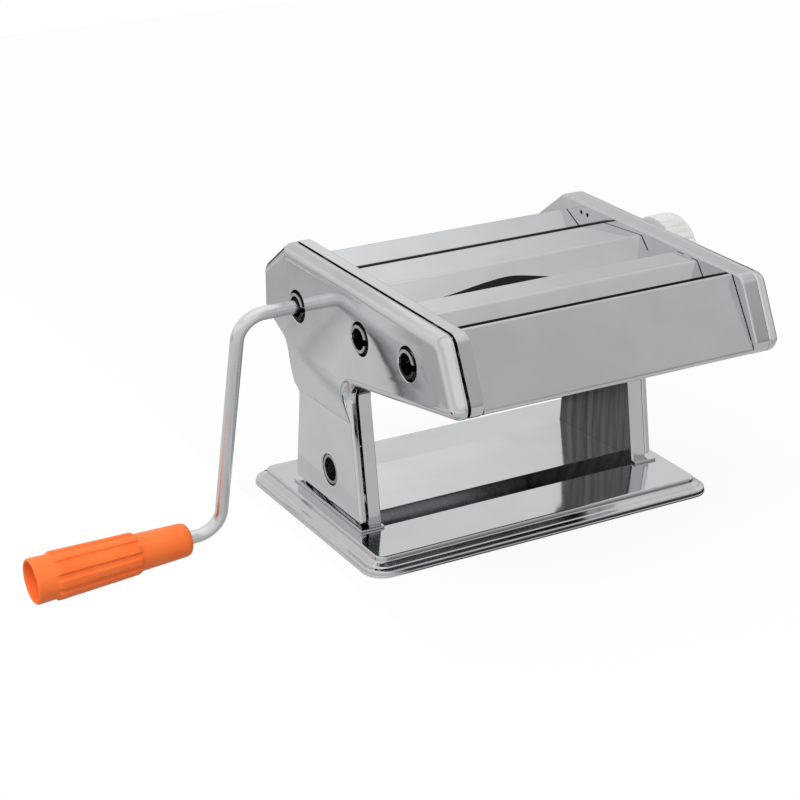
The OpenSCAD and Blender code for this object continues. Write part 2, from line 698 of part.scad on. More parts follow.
// An involute gear drawn in the side view; phase turns its first tooth
function involute(base, r) = let (a = acos(base / r)) tan(a) * 180 / PI - a;
function gear_outline(base, tip, root, half, phase) =
    [for (k = [0 : gear_teeth - 1]) let (c = phase + tau * k / gear_teeth)
        each concat([polar([0, 0], root, c - half)],
            [for (s = [0 : 4]) let (r = base + (tip - base) * s / 4) polar([0, 0], r, c - half + involute(base, r))],
            [for (s = [4 : -1 : 0]) let (r = base + (tip - base) * s / 4) polar([0, 0], r, c + half - involute(base, r))],
            [polar([0, 0], root, c + half)])];
// A gear for a pair that may close to the distance pitch, with its tooth or its gap towards the other gear
module gear(axis, pitch, addendum, bore, phase) {
    pressure = 24;
    backlash = 0.3;
    base = pitch / 2 * cos(pressure);
    tooth = 90 / gear_teeth - backlash / pitch * 180 / PI;
    half = tooth + involute(base, pitch / 2);
    tip = pitch / 2 + addendum;
    mirror([1, 0, 0]) difference() {
        across(gear_in, gear_out) translate(axis)
            polygon(gear_outline(base, tip, pitch - tip - 0.3, half, phase));
        bar(axis, bore + seat_fit, gear_in - 1, gear_out + 1);
    }
}
roller_gear_pitch = 2 * roller_r + gap_min;
roller_addendum = 2.3;
cutter_addendum = 1.5;
towards = 180 - rake;
away = -rake + 180 / gear_teeth;
module drive_gear() {
    color(satin) gear(drive_axis, roller_gear_pitch, roller_addendum, drive_journal_r, towards);
}
module moving_gear() {
    color(satin) gear(moving_axis, roller_gear_pitch, roller_addendum, idle_journal_r, away);
}

// A crank socket: a shank in the hollow shaft and a head with a counterbore and two notches
shank_r = 4.9;
pilot_r = rod_d / 2 + run_fit;
cup_r = 5.8;
cup_deep = 6.5;
socket_end = face_x + 0.8;
notch_w = 3.6;
module crank_socket(axis) {
    mirror([1, 0, 0]) difference() {
        union() {
            bar(axis, shank_r, bore_end, gear_out + eps);
            bar(axis, socket_r, gear_out, socket_end);
        }
        bar(axis, pilot_r, bore_end - 1, socket_end + 1);
        bar(axis, cup_r, socket_end - cup_deep, socket_end + 1);
        translate([socket_end - cup_deep, axis[0] - socket_r - 1, axis[1] - notch_w / 2])
            cube([cup_deep + 1, 2 * socket_r + 2, notch_w]);
    }
}
module drive_socket() {
    color(satin) crank_socket(drive_axis);
}
module wide_cutter_socket() {
    color(satin) crank_socket(wide_axis);
}
module narrow_cutter_socket() {
    color(satin) crank_socket(narrow_axis);
}

// ---------------------------------------------------------------- cutters
// A cutter roller: n discs a strip wide at a spacing of two strips, turned on one core
module cutter_roller(axis, n, strip_w) {
    w = (strip_w - disc_fit) / 2;
    end = roller_len / 2;
    profile = concat([[0, -end], [core_r, -end]],
        [for (i = [0 : n - 1]) let (x = disc_x(i, n, strip_w)) each [[core_r, x - w], [disc_r, x - w], [disc_r, x + w],
            [core_r, x + w]]],
        [[core_r, end], [0, end]]);
    on_axis(axis) rotate_extrude() polygon(profile);
}
module wide_cutter() {
    color(polished) {
        cutter_roller(wide_axis, wide_discs, wide_strip);
        driven_journal(wide_axis);
        idle_journal(wide_axis, right_end);
    }
}
module wide_mate() {
    color(polished) {
        cutter_roller(wide_mate_axis, wide_discs + 1, wide_strip);
        idle_journal(wide_mate_axis, -gear_out);
        idle_journal(wide_mate_axis, right_end);
    }
}
module narrow_cutter() {
    color(polished) {
        cutter_roller(narrow_axis, narrow_discs, narrow_strip);
        driven_journal(narrow_axis);
        idle_journal(narrow_axis, right_end);
    }
}
module narrow_mate() {
    color(polished) {
        cutter_roller(narrow_mate_axis, narrow_discs + 1, narrow_strip);
        idle_journal(narrow_mate_axis, -gear_out);
        idle_journal(narrow_mate_axis, right_end);
    }
}
module wide_cutter_gear() {
    color(satin) gear(wide_axis, cutter_pitch, cutter_addendum, drive_journal_r, towards);
}
module wide_mate_gear() {
    color(satin) gear(wide_mate_axis, cutter_pitch, cutter_addendum, idle_journal_r, away);
}
module narrow_cutter_gear() {
    color(satin) gear(narrow_axis, cutter_pitch, cutter_addendum, drive_journal_r, towards);
}
module narrow_mate_gear() {
    color(satin) gear(narrow_mate_axis, cutter_pitch, cutter_addendum, idle_journal_r, away);
}

// ---------------------------------------------------------------- thickness regulator
cam_in = web_out + 0.4;
cam_out = cam_in + 1.8;
cam_fit = 0.15;
block_in = frame_x - 1.4;
module bearing_block() {
    difference() {
        union() {
            across(block_in, cam_out) polygon(block_window(block_half[0], -block_half[0], block_half[1]));
            across(block_in, frame_x - gap) polygon(block_window(block_half[0], -block_half[0], block_half[1] + 2));
            across(cam_in, cam_out) polygon(concat(
                [along(moving_axis, block_half[0], -block_half[1]), along(moving_axis, block_half[0], block_half[1] + 2.6)],
                [along(moving_axis, -block_half[0] / 2, block_half[1] + 2.6), along(moving_axis, -block_half[0], block_half[1])],
                [along(moving_axis, -block_half[0], -block_half[1])]));
        }
        bar(moving_axis, idle_journal_r + run_fit, block_in - 1, cam_out + 1);
    }
}
module right_bearing_block() {
    color(bronze) bearing_block();
}
module left_bearing_block() {
    color(bronze) mirror([1, 0, 0]) bearing_block();
}

// The snail grows evenly with the turn; its low point faces the block at rest
cam_growth = gap_travel / knob_turn;
cam_low = regulator_ahead - block_half[0] - cam_fit;
snail_bulge = pow(cam_growth * 180 / PI, 2) / (2 * cam_low);
function snail_r(a) = cam_low - snail_bulge + cam_growth * a;
module snail() {
    difference() {
        across(cam_in, cam_out) translate(regulator_axis) rotate(-rake) polygon(concat(
            [for (a = [-15 : 5 : knob_turn + 15]) polar([0, 0], snail_r(max(0, min(a, knob_turn))), -a)],
            [for (a = [10 : 10 : 330 - knob_turn - 20])
                let (t = a / (330 - knob_turn)) polar([0, 0], snail_r(knob_turn) - gap_travel * t, -knob_turn - 15 - a)]));
        bar(regulator_axis, regulator_r + seat_fit, cam_in - 1, cam_out + 1);
    }
}
module right_cam() {
    color(satin) snail();
}
module left_cam() {
    color(satin) mirror([1, 0, 0]) snail();
}
knob_in = face_x + 2;
knob_out = knob_in + knob_w;
knob_web = 4;
knob_bite = 9.5;
module regulator_shaft() {
    color(zinc) difference() {
        bar(regulator_axis, regulator_r, -cam_out, knob_in + knob_web);
        bar(regulator_axis, screw_r + seat_fit, knob_in + knob_web - knob_bite - 0.5, knob_in + knob_web + 1);
    }
}
module knob_washer() {
    color(zinc) ring(regulator_axis, 8, regulator_r + seat_fit, face_x + gap, knob_in);
}
module knob_screw() {
    color(zinc) {
        bar(regulator_axis, screw_r, knob_in + knob_web - knob_bite, knob_in + knob_web + eps);
        bar(regulator_axis, 4.6, knob_in + knob_web, knob_in + knob_web + 2);
    }
}
knob_flutes = 30;
module knob() {
    color(nylon) difference() {
        on_axis(regulator_axis, knob_in) rotate_extrude() polygon(concat(
            [[0, 0], [knob_r - 1, 0], [knob_r, 1]],
            corner([knob_r, 0], [knob_r, knob_w], [0, knob_w], 3, 4),
            [[knob_r - 4.5, knob_w], [knob_r - 5.5, knob_w - 1], [knob_r - 5.5, knob_web], [0, knob_web]]));
        bar(regulator_axis, regulator_r + seat_fit, knob_in - 1, knob_in + knob_web + 1);
        for (k = [0 : knob_flutes - 1])
            bar(polar(regulator_axis, knob_r + 0.5, tau * k / knob_flutes), 1.1, knob_in - 1, knob_out - 2.5);
    }
}

// ---------------------------------------------------------------- crank
arm_x = face_x + arm_out;
crank_in = bore_end + 1.5;
pin_r = 1.5;
grip_start = 19.5;
axle_r = 3;
mouth_deep = 30;
// Places children in the plane of the arm, with local X outwards and local Y up along the arm
module arm_plane() {
    translate([0, drive_y, drive_z]) rotate([arm_lean + 90, 0, 0]) children();
}
// Places children at the arm's lower end, with local Z running outwards along the grip
module at_grip(out = 0) {
    arm_plane() translate([-arm_x, -arm_len, 0]) rotate([0, 0, grip_droop]) rotate([0, -90, 0])
        translate([0, 0, out]) children();
}
pin_x = socket_end - cup_deep + gap + pin_r;
module crank_pin() {
    color(zinc) translate([-pin_x, drive_y - socket_r + gap, drive_z]) rotate([-90, 0, 0])
        cylinder(r = pin_r, h = 2 * (socket_r - gap));
}
module crank_rod() {
    r = rod_d / 2;
    bend_turn = 90 - grip_droop;
    reach = bend_r * tan(bend_turn / 2);
    color(zinc) difference() {
        union() {
            bar(drive_axis, r, -arm_x + bend_r, -crank_in);
            arm_plane() translate([-arm_x + bend_r, -bend_r, 0]) rotate([0, 0, 90])
                rotate_extrude(angle = 90) translate([bend_r, 0]) circle(r);
            arm_plane() translate([-arm_x, -bend_r, 0]) rotate([90, 0, 0])
                cylinder(r = r, h = arm_len - bend_r - reach);
            arm_plane() translate([-arm_x - bend_r, -arm_len + reach, 0]) rotate([0, 0, -bend_turn])
                rotate_extrude(angle = bend_turn) translate([bend_r, 0]) circle(r);
            at_grip(reach) cylinder(r = r, h = grip_start - gap - reach);
            at_grip(grip_start - gap) cylinder(r = axle_r, h = axle_len);
            at_grip(grip_start - gap + axle_len) cylinder(r = axle_r + 1.2, h = 1.2);
        }
        translate([-pin_x, drive_y - r - 1, drive_z]) rotate([-90, 0, 0])
            cylinder(r = pin_r + seat_fit, h = 2 * r + 2);
    }
}
washer_t = 1;
axle_len = grip_len - mouth_deep + 2 * gap + washer_t;
module grip_washer() {
    color(zinc) at_grip(grip_start + grip_len - mouth_deep + gap) difference() {
        cylinder(r = 6, h = washer_t);
        translate([0, 0, -1]) cylinder(r = axle_r + seat_fit, h = washer_t + 2);
    }
}
pads = 10;
pad_start = 32;
pad_end = 82;
mouth_wall = 2;
function grip_at(z) = grip_r + (grip_mouth_r - grip_r) * z / grip_len;
module crank_grip() {
    floor_z = grip_len - mouth_deep;
    color(orange) at_grip(grip_start) {
        rotate_extrude() polygon(concat(
            [[axle_r + run_fit, 0]],
            corner([0, 0], [grip_at(0), 0], [grip_at(grip_len), grip_len], 4, 5),
            corner([grip_at(0), 0], [grip_at(grip_len), grip_len], [0, grip_len], 0.8, 2),
            [[grip_at(grip_len) - mouth_wall, grip_len], [grip_at(floor_z) - mouth_wall, floor_z],
            [axle_r + run_fit, floor_z]]));
        for (k = [0 : pads - 1])
            rotate([0, 0, tau * (k + 0.5) / pads]) rotate_extrude(angle = 0.62 * tau / pads) polygon([
                [grip_at(pad_start) - 0.5, pad_start], [grip_at(pad_start) + pad_h, pad_start + 0.3],
                [grip_at(pad_end) + pad_h, pad_end - 0.3], [grip_at(pad_end) - 0.5, pad_end]]);
    }
}

base_plate();
bottom_plate();
rubber_mat();
left_frame();
right_frame();
left_cover();
right_cover();
cover_posts();
cover_screws();
tie_rods();
tie_rod_nuts();
foot_bolts();
foot_nuts();
rear_panel();
centre_panel();
cutter_panel();
front_panel();
drive_roller();
drive_gear();
drive_socket();
moving_roller();
moving_gear();
left_bearing_block();
right_bearing_block();
regulator_shaft();
left_cam();
right_cam();
knob();
knob_screw();
knob_washer();
roller_bushings();
cutter_bushings();
regulator_bushings();
wide_cutter();
wide_cutter_gear();
wide_cutter_socket();
wide_mate();
wide_mate_gear();
narrow_cutter();
narrow_cutter_gear();
narrow_cutter_socket();
narrow_mate();
narrow_mate_gear();
wide_combs();
narrow_combs();
roller_scrapers();
clamp_socket();
crank_rod();
crank_pin();
crank_grip();
grip_washer();
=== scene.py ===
import json
import math

import bmesh
import bpy
from mathutils import Matrix, Vector


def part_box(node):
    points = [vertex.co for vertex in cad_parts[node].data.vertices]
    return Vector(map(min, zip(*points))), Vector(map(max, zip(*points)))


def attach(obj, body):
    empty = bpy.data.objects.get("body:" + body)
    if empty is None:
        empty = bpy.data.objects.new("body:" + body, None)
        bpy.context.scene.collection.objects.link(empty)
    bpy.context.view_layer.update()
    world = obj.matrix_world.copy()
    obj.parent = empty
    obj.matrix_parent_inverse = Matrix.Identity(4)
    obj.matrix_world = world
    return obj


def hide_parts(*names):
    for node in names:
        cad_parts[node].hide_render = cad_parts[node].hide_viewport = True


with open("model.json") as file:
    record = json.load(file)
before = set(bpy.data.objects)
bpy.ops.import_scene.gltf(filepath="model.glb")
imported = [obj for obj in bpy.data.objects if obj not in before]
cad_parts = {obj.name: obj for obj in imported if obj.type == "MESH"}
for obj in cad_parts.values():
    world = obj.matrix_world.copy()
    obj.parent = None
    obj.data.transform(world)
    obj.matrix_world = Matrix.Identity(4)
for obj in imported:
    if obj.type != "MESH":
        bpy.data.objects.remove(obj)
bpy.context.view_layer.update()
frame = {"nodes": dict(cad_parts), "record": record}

MM = 0.001
scene = bpy.context.scene

# --- Camera ---------------------------------------------------------------------------------------
# A long lens 30 degrees round to the crank's side and 23 degrees above, at about 1.2 m, as for a
# product picture. Lengths here are millimetres until they are multiplied by MM.
lens_mm = 96.7
lens_down = 22.736
lens_round = 29.69
lens_place = (-588.84, -941.93, 518.56)
camera_data = bpy.data.cameras.new("camera")
camera_data.lens = lens_mm
camera_data.sensor_width = 36
camera_data.clip_end = 20
camera = bpy.data.objects.new("camera", camera_data)
camera.location = Vector(lens_place) * MM
camera.rotation_euler = (math.radians(90 - lens_down), 0, math.radians(-lens_round))
scene.collection.objects.link(camera)
scene.camera = camera
scene.view_settings.view_transform = "Standard"


def linear(code):
    """An sRGB hex colour as the linear numbers that a socket takes."""
    parts = [int(code[i:i + 2], 16) / 255 for i in (1, 3, 5)]
    return tuple(c / 12.92 if c <= 0.04045 else ((c + 0.055) / 1.055) ** 2.4 for c in parts) + (1.0,)


def add_node(tree, kind, inputs=(), **settings):
    """Adds a node, sets its properties, and sets or links its inputs, which are named or numbered."""
    made = tree.nodes.new(kind)
    for name, value in settings.items():
        setattr(made, name, value)
    for name, value in dict(inputs).items():
        if isinstance(value, bpy.types.NodeSocket):
            tree.links.new(value, made.inputs[name])
        else:
            made.inputs[name].default_value = value
    return made


def colour_stops(node, stops):
    """Puts colours, given as (place, hex code), on a colour ramp."""
    ramp = node.color_ramp
    while len(ramp.elements) > 1:
        ramp.elements.remove(ramp.elements[-1])
    ramp.elements[0].position, ramp.elements[0].color = stops[0][0], linear(stops[0][1])
    for place, code in stops[1:]:
        ramp.elements.new(place).color = linear(code)


# --- Studio ---------------------------------------------------------------------------------------
# Polished steel shows the room it stands in: pale walls, greyer in front and to the right, and a few
# dark and white cards that draw the lines in bent edges.
# Cards as (direction, half width in degrees, shade)
cards = [((-0.839, 0.490, -0.234), 9, "#141414"), ((-0.975, 0.201, -0.093), 7, "#FFFFFF"),
         ((-0.999, -0.048, 0.030), 3, "#404040")]
# Shades of the room from straight below (0) to straight above (1), and from the front (0) to the back (1)
height_shades = [(0.0, "#A8A8A8"), (0.25, "#D8D8D8"), (0.312, "#DADADA"), (0.335, "#C4C4C4"), (0.368, "#E4E4E4"),
                 (0.398, "#DCDCDC"), (0.415, "#BEBEBE"), (0.44, "#CCCCCC"), (0.5, "#E8E8E8"), (0.655, "#F8F8F8"),
                 (0.705, "#E8E8E8"), (0.82, "#E6E6E6"), (0.9, "#FFFFFF")]
depth_shades = [(0.0, "#C8C6C7"), (0.12, "#D4D2D3"), (0.28, "#F2F2F2"), (0.6, "#FFFFFF"), (1.0, "#FFFFFF")]
# The right wall dims between these sideways directions, apart from a band between these heights
right_wall, right_dim = (0.43, 0.57), 0.72
band_from, band_to = (0.34, 0.4), (0.65, 0.8)
world = bpy.data.worlds.new("studio")
scene.world = world
world.use_nodes = True
tree = world.node_tree
tree.nodes.clear()
towards = add_node(tree, "ShaderNodeTexCoord").outputs["Generated"]
axes = add_node(tree, "ShaderNodeSeparateXYZ", {"Vector": towards})
height = add_node(tree, "ShaderNodeMapRange", {"Value": axes.outputs["Z"], "From Min": -1.0, "From Max": 1.0})
up_down = add_node(tree, "ShaderNodeValToRGB", {"Fac": height.outputs["Result"]})
colour_stops(up_down, height_shades)
depth = add_node(tree, "ShaderNodeMapRange", {"Value": axes.outputs["Y"], "From Min": -1.0, "From Max": 1.0})
front_back = add_node(tree, "ShaderNodeValToRGB", {"Fac": depth.outputs["Result"]})
colour_stops(front_back, depth_shades)
rightwards = add_node(tree, "ShaderNodeMapRange", {"Value": axes.outputs["X"], "From Min": 0.1, "From Max": 0.35})
front_back = add_node(tree, "ShaderNodeMix", {0: rightwards.outputs["Result"], 6: linear("#F6F6F6"),
                                              7: front_back.outputs["Color"]}, data_type="RGBA")
room = add_node(tree, "ShaderNodeMix", {0: 1.0, 6: up_down.outputs["Color"], 7: front_back.outputs[2]},
                data_type="RGBA", blend_type="MULTIPLY").outputs[2]
dimmed = add_node(tree, "ShaderNodeMapRange", {"Value": axes.outputs["X"], "From Min": right_wall[0],
                                               "From Max": right_wall[1], "To Min": 1.0, "To Max": right_dim},
                  interpolation_type="SMOOTHSTEP")
above_low, above_high = (add_node(tree, "ShaderNodeMapRange", {"Value": axes.outputs["Z"], "From Min": low,
                                                               "From Max": high}, interpolation_type="SMOOTHSTEP")
                         for low, high in (band_from, band_to))
band = add_node(tree, "ShaderNodeMath", {0: above_low.outputs["Result"], 1: above_high.outputs["Result"]},
                operation="SUBTRACT")
greyer = add_node(tree, "ShaderNodeMix", {0: band.outputs[0], 2: dimmed.outputs["Result"], 3: 1.0},
                  data_type="FLOAT").outputs[0]
room = add_node(tree, "ShaderNodeVectorMath", {0: room, "Scale": greyer}, operation="SCALE").outputs[0]
for direction, half_width, shade in cards:
    facing = add_node(tree, "ShaderNodeVectorMath", {0: towards, 1: Vector(direction).normalized()},
                      operation="DOT_PRODUCT")
    card = add_node(tree, "ShaderNodeMapRange",
                    {"Value": facing.outputs["Value"], "From Min": math.cos(math.radians(half_width * 1.3)),
                     "From Max": math.cos(math.radians(half_width * 0.7))}, interpolation_type="SMOOTHSTEP")
    room = add_node(tree, "ShaderNodeMix", {0: card.outputs["Result"], 6: room, 7: linear(shade)},
                    data_type="RGBA").outputs[2]
mirrored = add_node(tree, "ShaderNodeBackground", {"Color": room, "Strength": 1.0})
seen = add_node(tree, "ShaderNodeBackground", {"Color": (1, 1, 1, 1), "Strength": 1.0})
ray = add_node(tree, "ShaderNodeLightPath")
sky = add_node(tree, "ShaderNodeMixShader", {0: ray.outputs["Is Camera Ray"], 1: mirrored.outputs[0],
                                             2: seen.outputs[0]})
add_node(tree, "ShaderNodeOutputWorld", {"Surface": sky.outputs[0]})


def soft_light(name, place, size, power):
    """A square softbox at a place, turned towards the middle of the machine."""
    data = bpy.data.lights.new(name, "AREA")
    data.shape = "SQUARE"
    data.size = size * MM
    data.energy = power
    lamp = bpy.data.objects.new(name, data)
    lamp.location = Vector(place) * MM
    lamp.rotation_euler = (Vector((0, 0, 80)) - Vector(place)).to_track_quat("-Z", "Y").to_euler()
    lamp.visible_glossy = False
    scene.collection.objects.link(lamp)


soft_light("key_light", (-900, -500, 1400), 900, 13)
soft_light("fill_light", (1300, -700, 900), 900, 6)

# --- Table ----------------------------------------------------------------------------------------
# A white top whose left edge is just past the base, so that the crank hangs free beside it. It is
# matt, and shows the camera white apart from the machine's own soft shadow. In mirror reflections it is
# a painted grey, with painted shade behind the machine and round its base.
table_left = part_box("base_plate")[0].x - 10 * MM
table_size = 2.4
base_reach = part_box("base_plate")[1]
painted_shade_behind = (60, 90)
painted_shade_beside = (10, 22)
painted_shade_right_of = (-95, -85)
paper = bpy.data.materials.new("white_paper")
paper.use_nodes = True
tree = paper.node_tree
tree.nodes.clear()
matt = add_node(tree, "ShaderNodeBsdfDiffuse", {"Color": linear("#E6E6E6")})
glow = add_node(tree, "ShaderNodeEmission", {"Color": (1, 1, 1, 1), "Strength": 1.0})
ray = add_node(tree, "ShaderNodeLightPath")
glow_share = add_node(tree, "ShaderNodeMath", {0: ray.outputs["Is Camera Ray"], 1: 0.9}, operation="MULTIPLY")
paper_direct = add_node(tree, "ShaderNodeMixShader", {0: glow_share.outputs[0], 1: matt.outputs[0],
                                                      2: glow.outputs[0]})
on_table = add_node(tree, "ShaderNodeSeparateXYZ", {"Vector": add_node(tree, "ShaderNodeTexCoord").outputs["Object"]})
# Painted shade in the table's mirror tone: dark behind the machine and in a band round its base.
behind = add_node(tree, "ShaderNodeMapRange", {"Value": on_table.outputs["Y"], "From Min": painted_shade_behind[0] * MM,
                                               "From Max": painted_shade_behind[1] * MM})
along = add_node(tree, "ShaderNodeMath", {0: on_table.outputs["X"]}, operation="ABSOLUTE")
along = add_node(tree, "ShaderNodeMath", {0: along.outputs[0], 1: base_reach.x}, operation="SUBTRACT")
across = add_node(tree, "ShaderNodeMath", {0: on_table.outputs["Y"]}, operation="ABSOLUTE")
across = add_node(tree, "ShaderNodeMath", {0: across.outputs[0], 1: base_reach.y}, operation="SUBTRACT")
from_base = add_node(tree, "ShaderNodeMath", {0: along.outputs[0], 1: across.outputs[0]}, operation="MAXIMUM")
right_part = add_node(tree, "ShaderNodeMapRange", {"Value": on_table.outputs["X"], "From Min": painted_shade_right_of[0] * MM,
                                                   "From Max": painted_shade_right_of[1] * MM})
beside = add_node(tree, "ShaderNodeMapRange", {"Value": from_base.outputs[0], "From Min": painted_shade_beside[0] * MM,
                                               "From Max": painted_shade_beside[1] * MM, "To Min": 1.0, "To Max": 0.0})
dark = add_node(tree, "ShaderNodeMath", {0: behind.outputs[0], 1: beside.outputs[0]}, operation="MAXIMUM")
dark = add_node(tree, "ShaderNodeMath", {0: dark.outputs[0], 1: right_part.outputs[0]}, operation="MULTIPLY")
tone = add_node(tree, "ShaderNodeMix", {0: dark.outputs[0], 6: linear("#CDCDCD"), 7: linear("#3C3C3E")},
                data_type="RGBA")
reflected = add_node(tree, "ShaderNodeEmission", {"Color": tone.outputs[2], "Strength": 1.0})
paper_seen = add_node(tree, "ShaderNodeMixShader", {0: ray.outputs["Is Glossy Ray"], 1: paper_direct.outputs[0],
                                                    2: reflected.outputs[0]})
add_node(tree, "ShaderNodeOutputMaterial", {"Surface": paper_seen.outputs[0]})
bm = bmesh.new()
bmesh.ops.create_grid(bm, x_segments=1, y_segments=1, size=table_size / 2)
bmesh.ops.translate(bm, verts=bm.verts, vec=(table_left + table_size / 2, 0, -0.2 * MM))
table_mesh = bpy.data.meshes.new("table")
bm.to_mesh(table_mesh)
bm.free()
table = bpy.data.objects.new("table", table_mesh)
table.data.materials.append(paper)
scene.collection.objects.link(table)


# --- Base -----------------------------------------------------------------------------------------
# The base is pressed from one sheet of steel, polished and chromed, with a stepped rim and its edge
# hemmed inwards over a steel bottom plate. A rubber mat is glued under that, so that it doesn't slide.
def polished_steel(name, colour, roughness, wave_mm, wave_height):
    """Chromed pressed sheet: a bright mirror, softened by buffing, over slightly uneven metal."""
    made = bpy.data.materials.new(name)
    made.use_nodes = True
    tree = made.node_tree
    shader = tree.nodes["Principled BSDF"]
    shader.inputs["Metallic"].default_value = 1.0
    here = add_node(tree, "ShaderNodeTexCoord").outputs["Object"]
    smudge = add_node(tree, "ShaderNodeTexNoise", {"Vector": here, "Scale": 1 / (28 * MM), "Detail": 3.0})
    haze = add_node(tree, "ShaderNodeMapRange", {"Value": smudge.outputs["Fac"], "From Min": 0.3, "From Max": 0.7,
                                                 "To Min": roughness * 0.8, "To Max": roughness * 1.3})
    tree.links.new(haze.outputs["Result"], shader.inputs["Roughness"])
    tint = add_node(tree, "ShaderNodeValToRGB", {"Fac": smudge.outputs["Fac"]})
    colour_stops(tint, [(0.3, colour[0]), (0.7, colour[1])])
    tree.links.new(tint.outputs["Color"], shader.inputs["Base Color"])
    wave = add_node(tree, "ShaderNodeTexNoise", {"Vector": here, "Scale": 1 / (wave_mm * MM), "Detail": 1.0})
    uneven = add_node(tree, "ShaderNodeBump", {"Height": wave.outputs["Fac"], "Distance": wave_height * MM,
                                               "Strength": 1.0})
    tree.links.new(uneven.outputs["Normal"], shader.inputs["Normal"])
    return made


def worked_metal(name, colours, roughness, grain_mm, grain_height, lines=(1, 1, 1)):
    """A turned, tumbled or plated metal part: an even grain, drawn out along lines where it was turned."""
    made = bpy.data.materials.new(name)
    made.use_nodes = True
    tree = made.node_tree
    shader = tree.nodes["Principled BSDF"]
    shader.inputs["Metallic"].default_value = 1.0
    here = add_node(tree, "ShaderNodeTexCoord").outputs["Object"]
    drawn = add_node(tree, "ShaderNodeMapping", {"Vector": here, "Scale": lines})
    grain = add_node(tree, "ShaderNodeTexNoise", {"Vector": drawn.outputs[0], "Scale": 1 / (grain_mm * MM),
                                                  "Detail": 4.0})
    tint = add_node(tree, "ShaderNodeValToRGB", {"Fac": grain.outputs["Fac"]})
    colour_stops(tint, [(0.35, colours[0]), (0.65, colours[1])])
    tree.links.new(tint.outputs["Color"], shader.inputs["Base Color"])
    haze = add_node(tree, "ShaderNodeMapRange", {"Value": grain.outputs["Fac"], "From Min": 0.3, "From Max": 0.7,
                                                 "To Min": roughness * 0.85, "To Max": roughness * 1.2})
    tree.links.new(haze.outputs["Result"], shader.inputs["Roughness"])
    relief = add_node(tree, "ShaderNodeBump", {"Height": grain.outputs["Fac"], "Distance": grain_height * MM,
                                               "Strength": 1.0})
    tree.links.new(relief.outputs["Normal"], shader.inputs["Normal"])
    return made


def moulded(name, colours, roughness, grain_mm, grain_height, glow_through=0.0):
    """A moulded plastic or rubber skin: a fine spark-eroded grain and faint cloudiness."""
    made = bpy.data.materials.new(name)
    made.use_nodes = True
    tree = made.node_tree
    shader = tree.nodes["Principled BSDF"]
    here = add_node(tree, "ShaderNodeTexCoord").outputs["Object"]
    cloud = add_node(tree, "ShaderNodeTexNoise", {"Vector": here, "Scale": 1 / (18 * MM), "Detail": 2.0})
    tint = add_node(tree, "ShaderNodeValToRGB", {"Fac": cloud.outputs["Fac"]})
    colour_stops(tint, [(0.3, colours[0]), (0.7, colours[1])])
    tree.links.new(tint.outputs["Color"], shader.inputs["Base Color"])
    grain = add_node(tree, "ShaderNodeTexNoise", {"Vector": here, "Scale": 1 / (grain_mm * MM), "Detail": 2.0})
    haze = add_node(tree, "ShaderNodeMapRange", {"Value": grain.outputs["Fac"], "From Min": 0.3, "From Max": 0.7,
                                                 "To Min": roughness * 0.85, "To Max": roughness * 1.15})
    tree.links.new(haze.outputs["Result"], shader.inputs["Roughness"])
    relief = add_node(tree, "ShaderNodeBump", {"Height": grain.outputs["Fac"], "Distance": grain_height * MM,
                                               "Strength": 1.0})
    tree.links.new(relief.outputs["Normal"], shader.inputs["Normal"])
    if glow_through:
        shader.inputs["Subsurface Weight"].default_value = glow_through
        shader.inputs["Subsurface Radius"].default_value = (1.0, 1.0, 1.0)
        shader.inputs["Subsurface Scale"].default_value = 3 * MM
    return made


def piece(name, bm, material, body, slot, *nodes):
    """Makes the finished bmesh a piece of a body, in place of CAD nodes."""
    mesh = bpy.data.meshes.new(name)
    bm.to_mesh(mesh)
    bm.free()
    made = bpy.data.objects.new(name, mesh)
    mesh.materials.append(material)
    scene.collection.objects.link(made)
    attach(made, body)
    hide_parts(*nodes)
    return made


def smooth_by_angle(bm, degrees):
    """Shades a mesh smooth, with sharp edges where two faces meet at more than an angle."""
    for face in bm.faces:
        face.smooth = True
    for edge in bm.edges:
        if len(edge.link_faces) == 2:
            edge.smooth = edge.calc_face_angle(0) < math.radians(degrees)


def even_shading(made):
    """Large flat faces keep their own direction, and the bends between them take up the turn."""
    modifier = made.modifiers.new("even_shading", "WEIGHTED_NORMAL")
    modifier.keep_sharp = True
    modifier.weight = 100


def sheet_thickness(made, thickness):
    """Gives a pressed shell its wall, on the inside."""
    modifier = made.modifiers.new("sheet", "SOLIDIFY")
    modifier.thickness = thickness * MM
    modifier.offset = -1
    modifier.use_even_offset = True


def bent_strip(bm, corners, start, end, segments=6, closed=False):
    """A strip along X whose side view has (y, z, bend radius) corners; bends are bevelled edges."""
    row = [bm.verts.new(Vector((start, y, z)) * MM) for y, z, r in corners]
    pairs = list(zip(row, row[1:] + row[:1])) if closed else list(zip(row, row[1:]))
    edges = [bm.edges.new(pair) for pair in pairs]
    grown = bmesh.ops.extrude_edge_only(bm, edges=edges)["geom"]
    far = [v for v in grown if isinstance(v, bmesh.types.BMVert)]
    bmesh.ops.translate(bm, verts=far, vec=((end - start) * MM, 0, 0))
    for i, (y, z, r) in enumerate(corners):
        if r and (closed or 0 < i < len(corners) - 1):
            here, before, after = (Vector(corners[k % len(corners)][:2]) for k in (i, i - 1, i + 1))
            turn = (here - before).angle(after - here)
            ridge = next(e for e in row[i].link_edges if abs(e.verts[0].co.x - e.verts[1].co.x) > 0.5 * MM)
            bmesh.ops.bevel(bm, geom=[ridge], offset=r * math.tan(turn / 2) * MM, offset_type="OFFSET",
                            affect="EDGES", segments=segments, profile=0.5, material=-1)


chrome = polished_steel("chromed_steel_sheet", ("#D2D3D5", "#D8D9DB"), 0.08, 45, 0.012)
base_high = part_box("base_plate")[1] / MM
base_corner = 12
deck_h = base_high.z
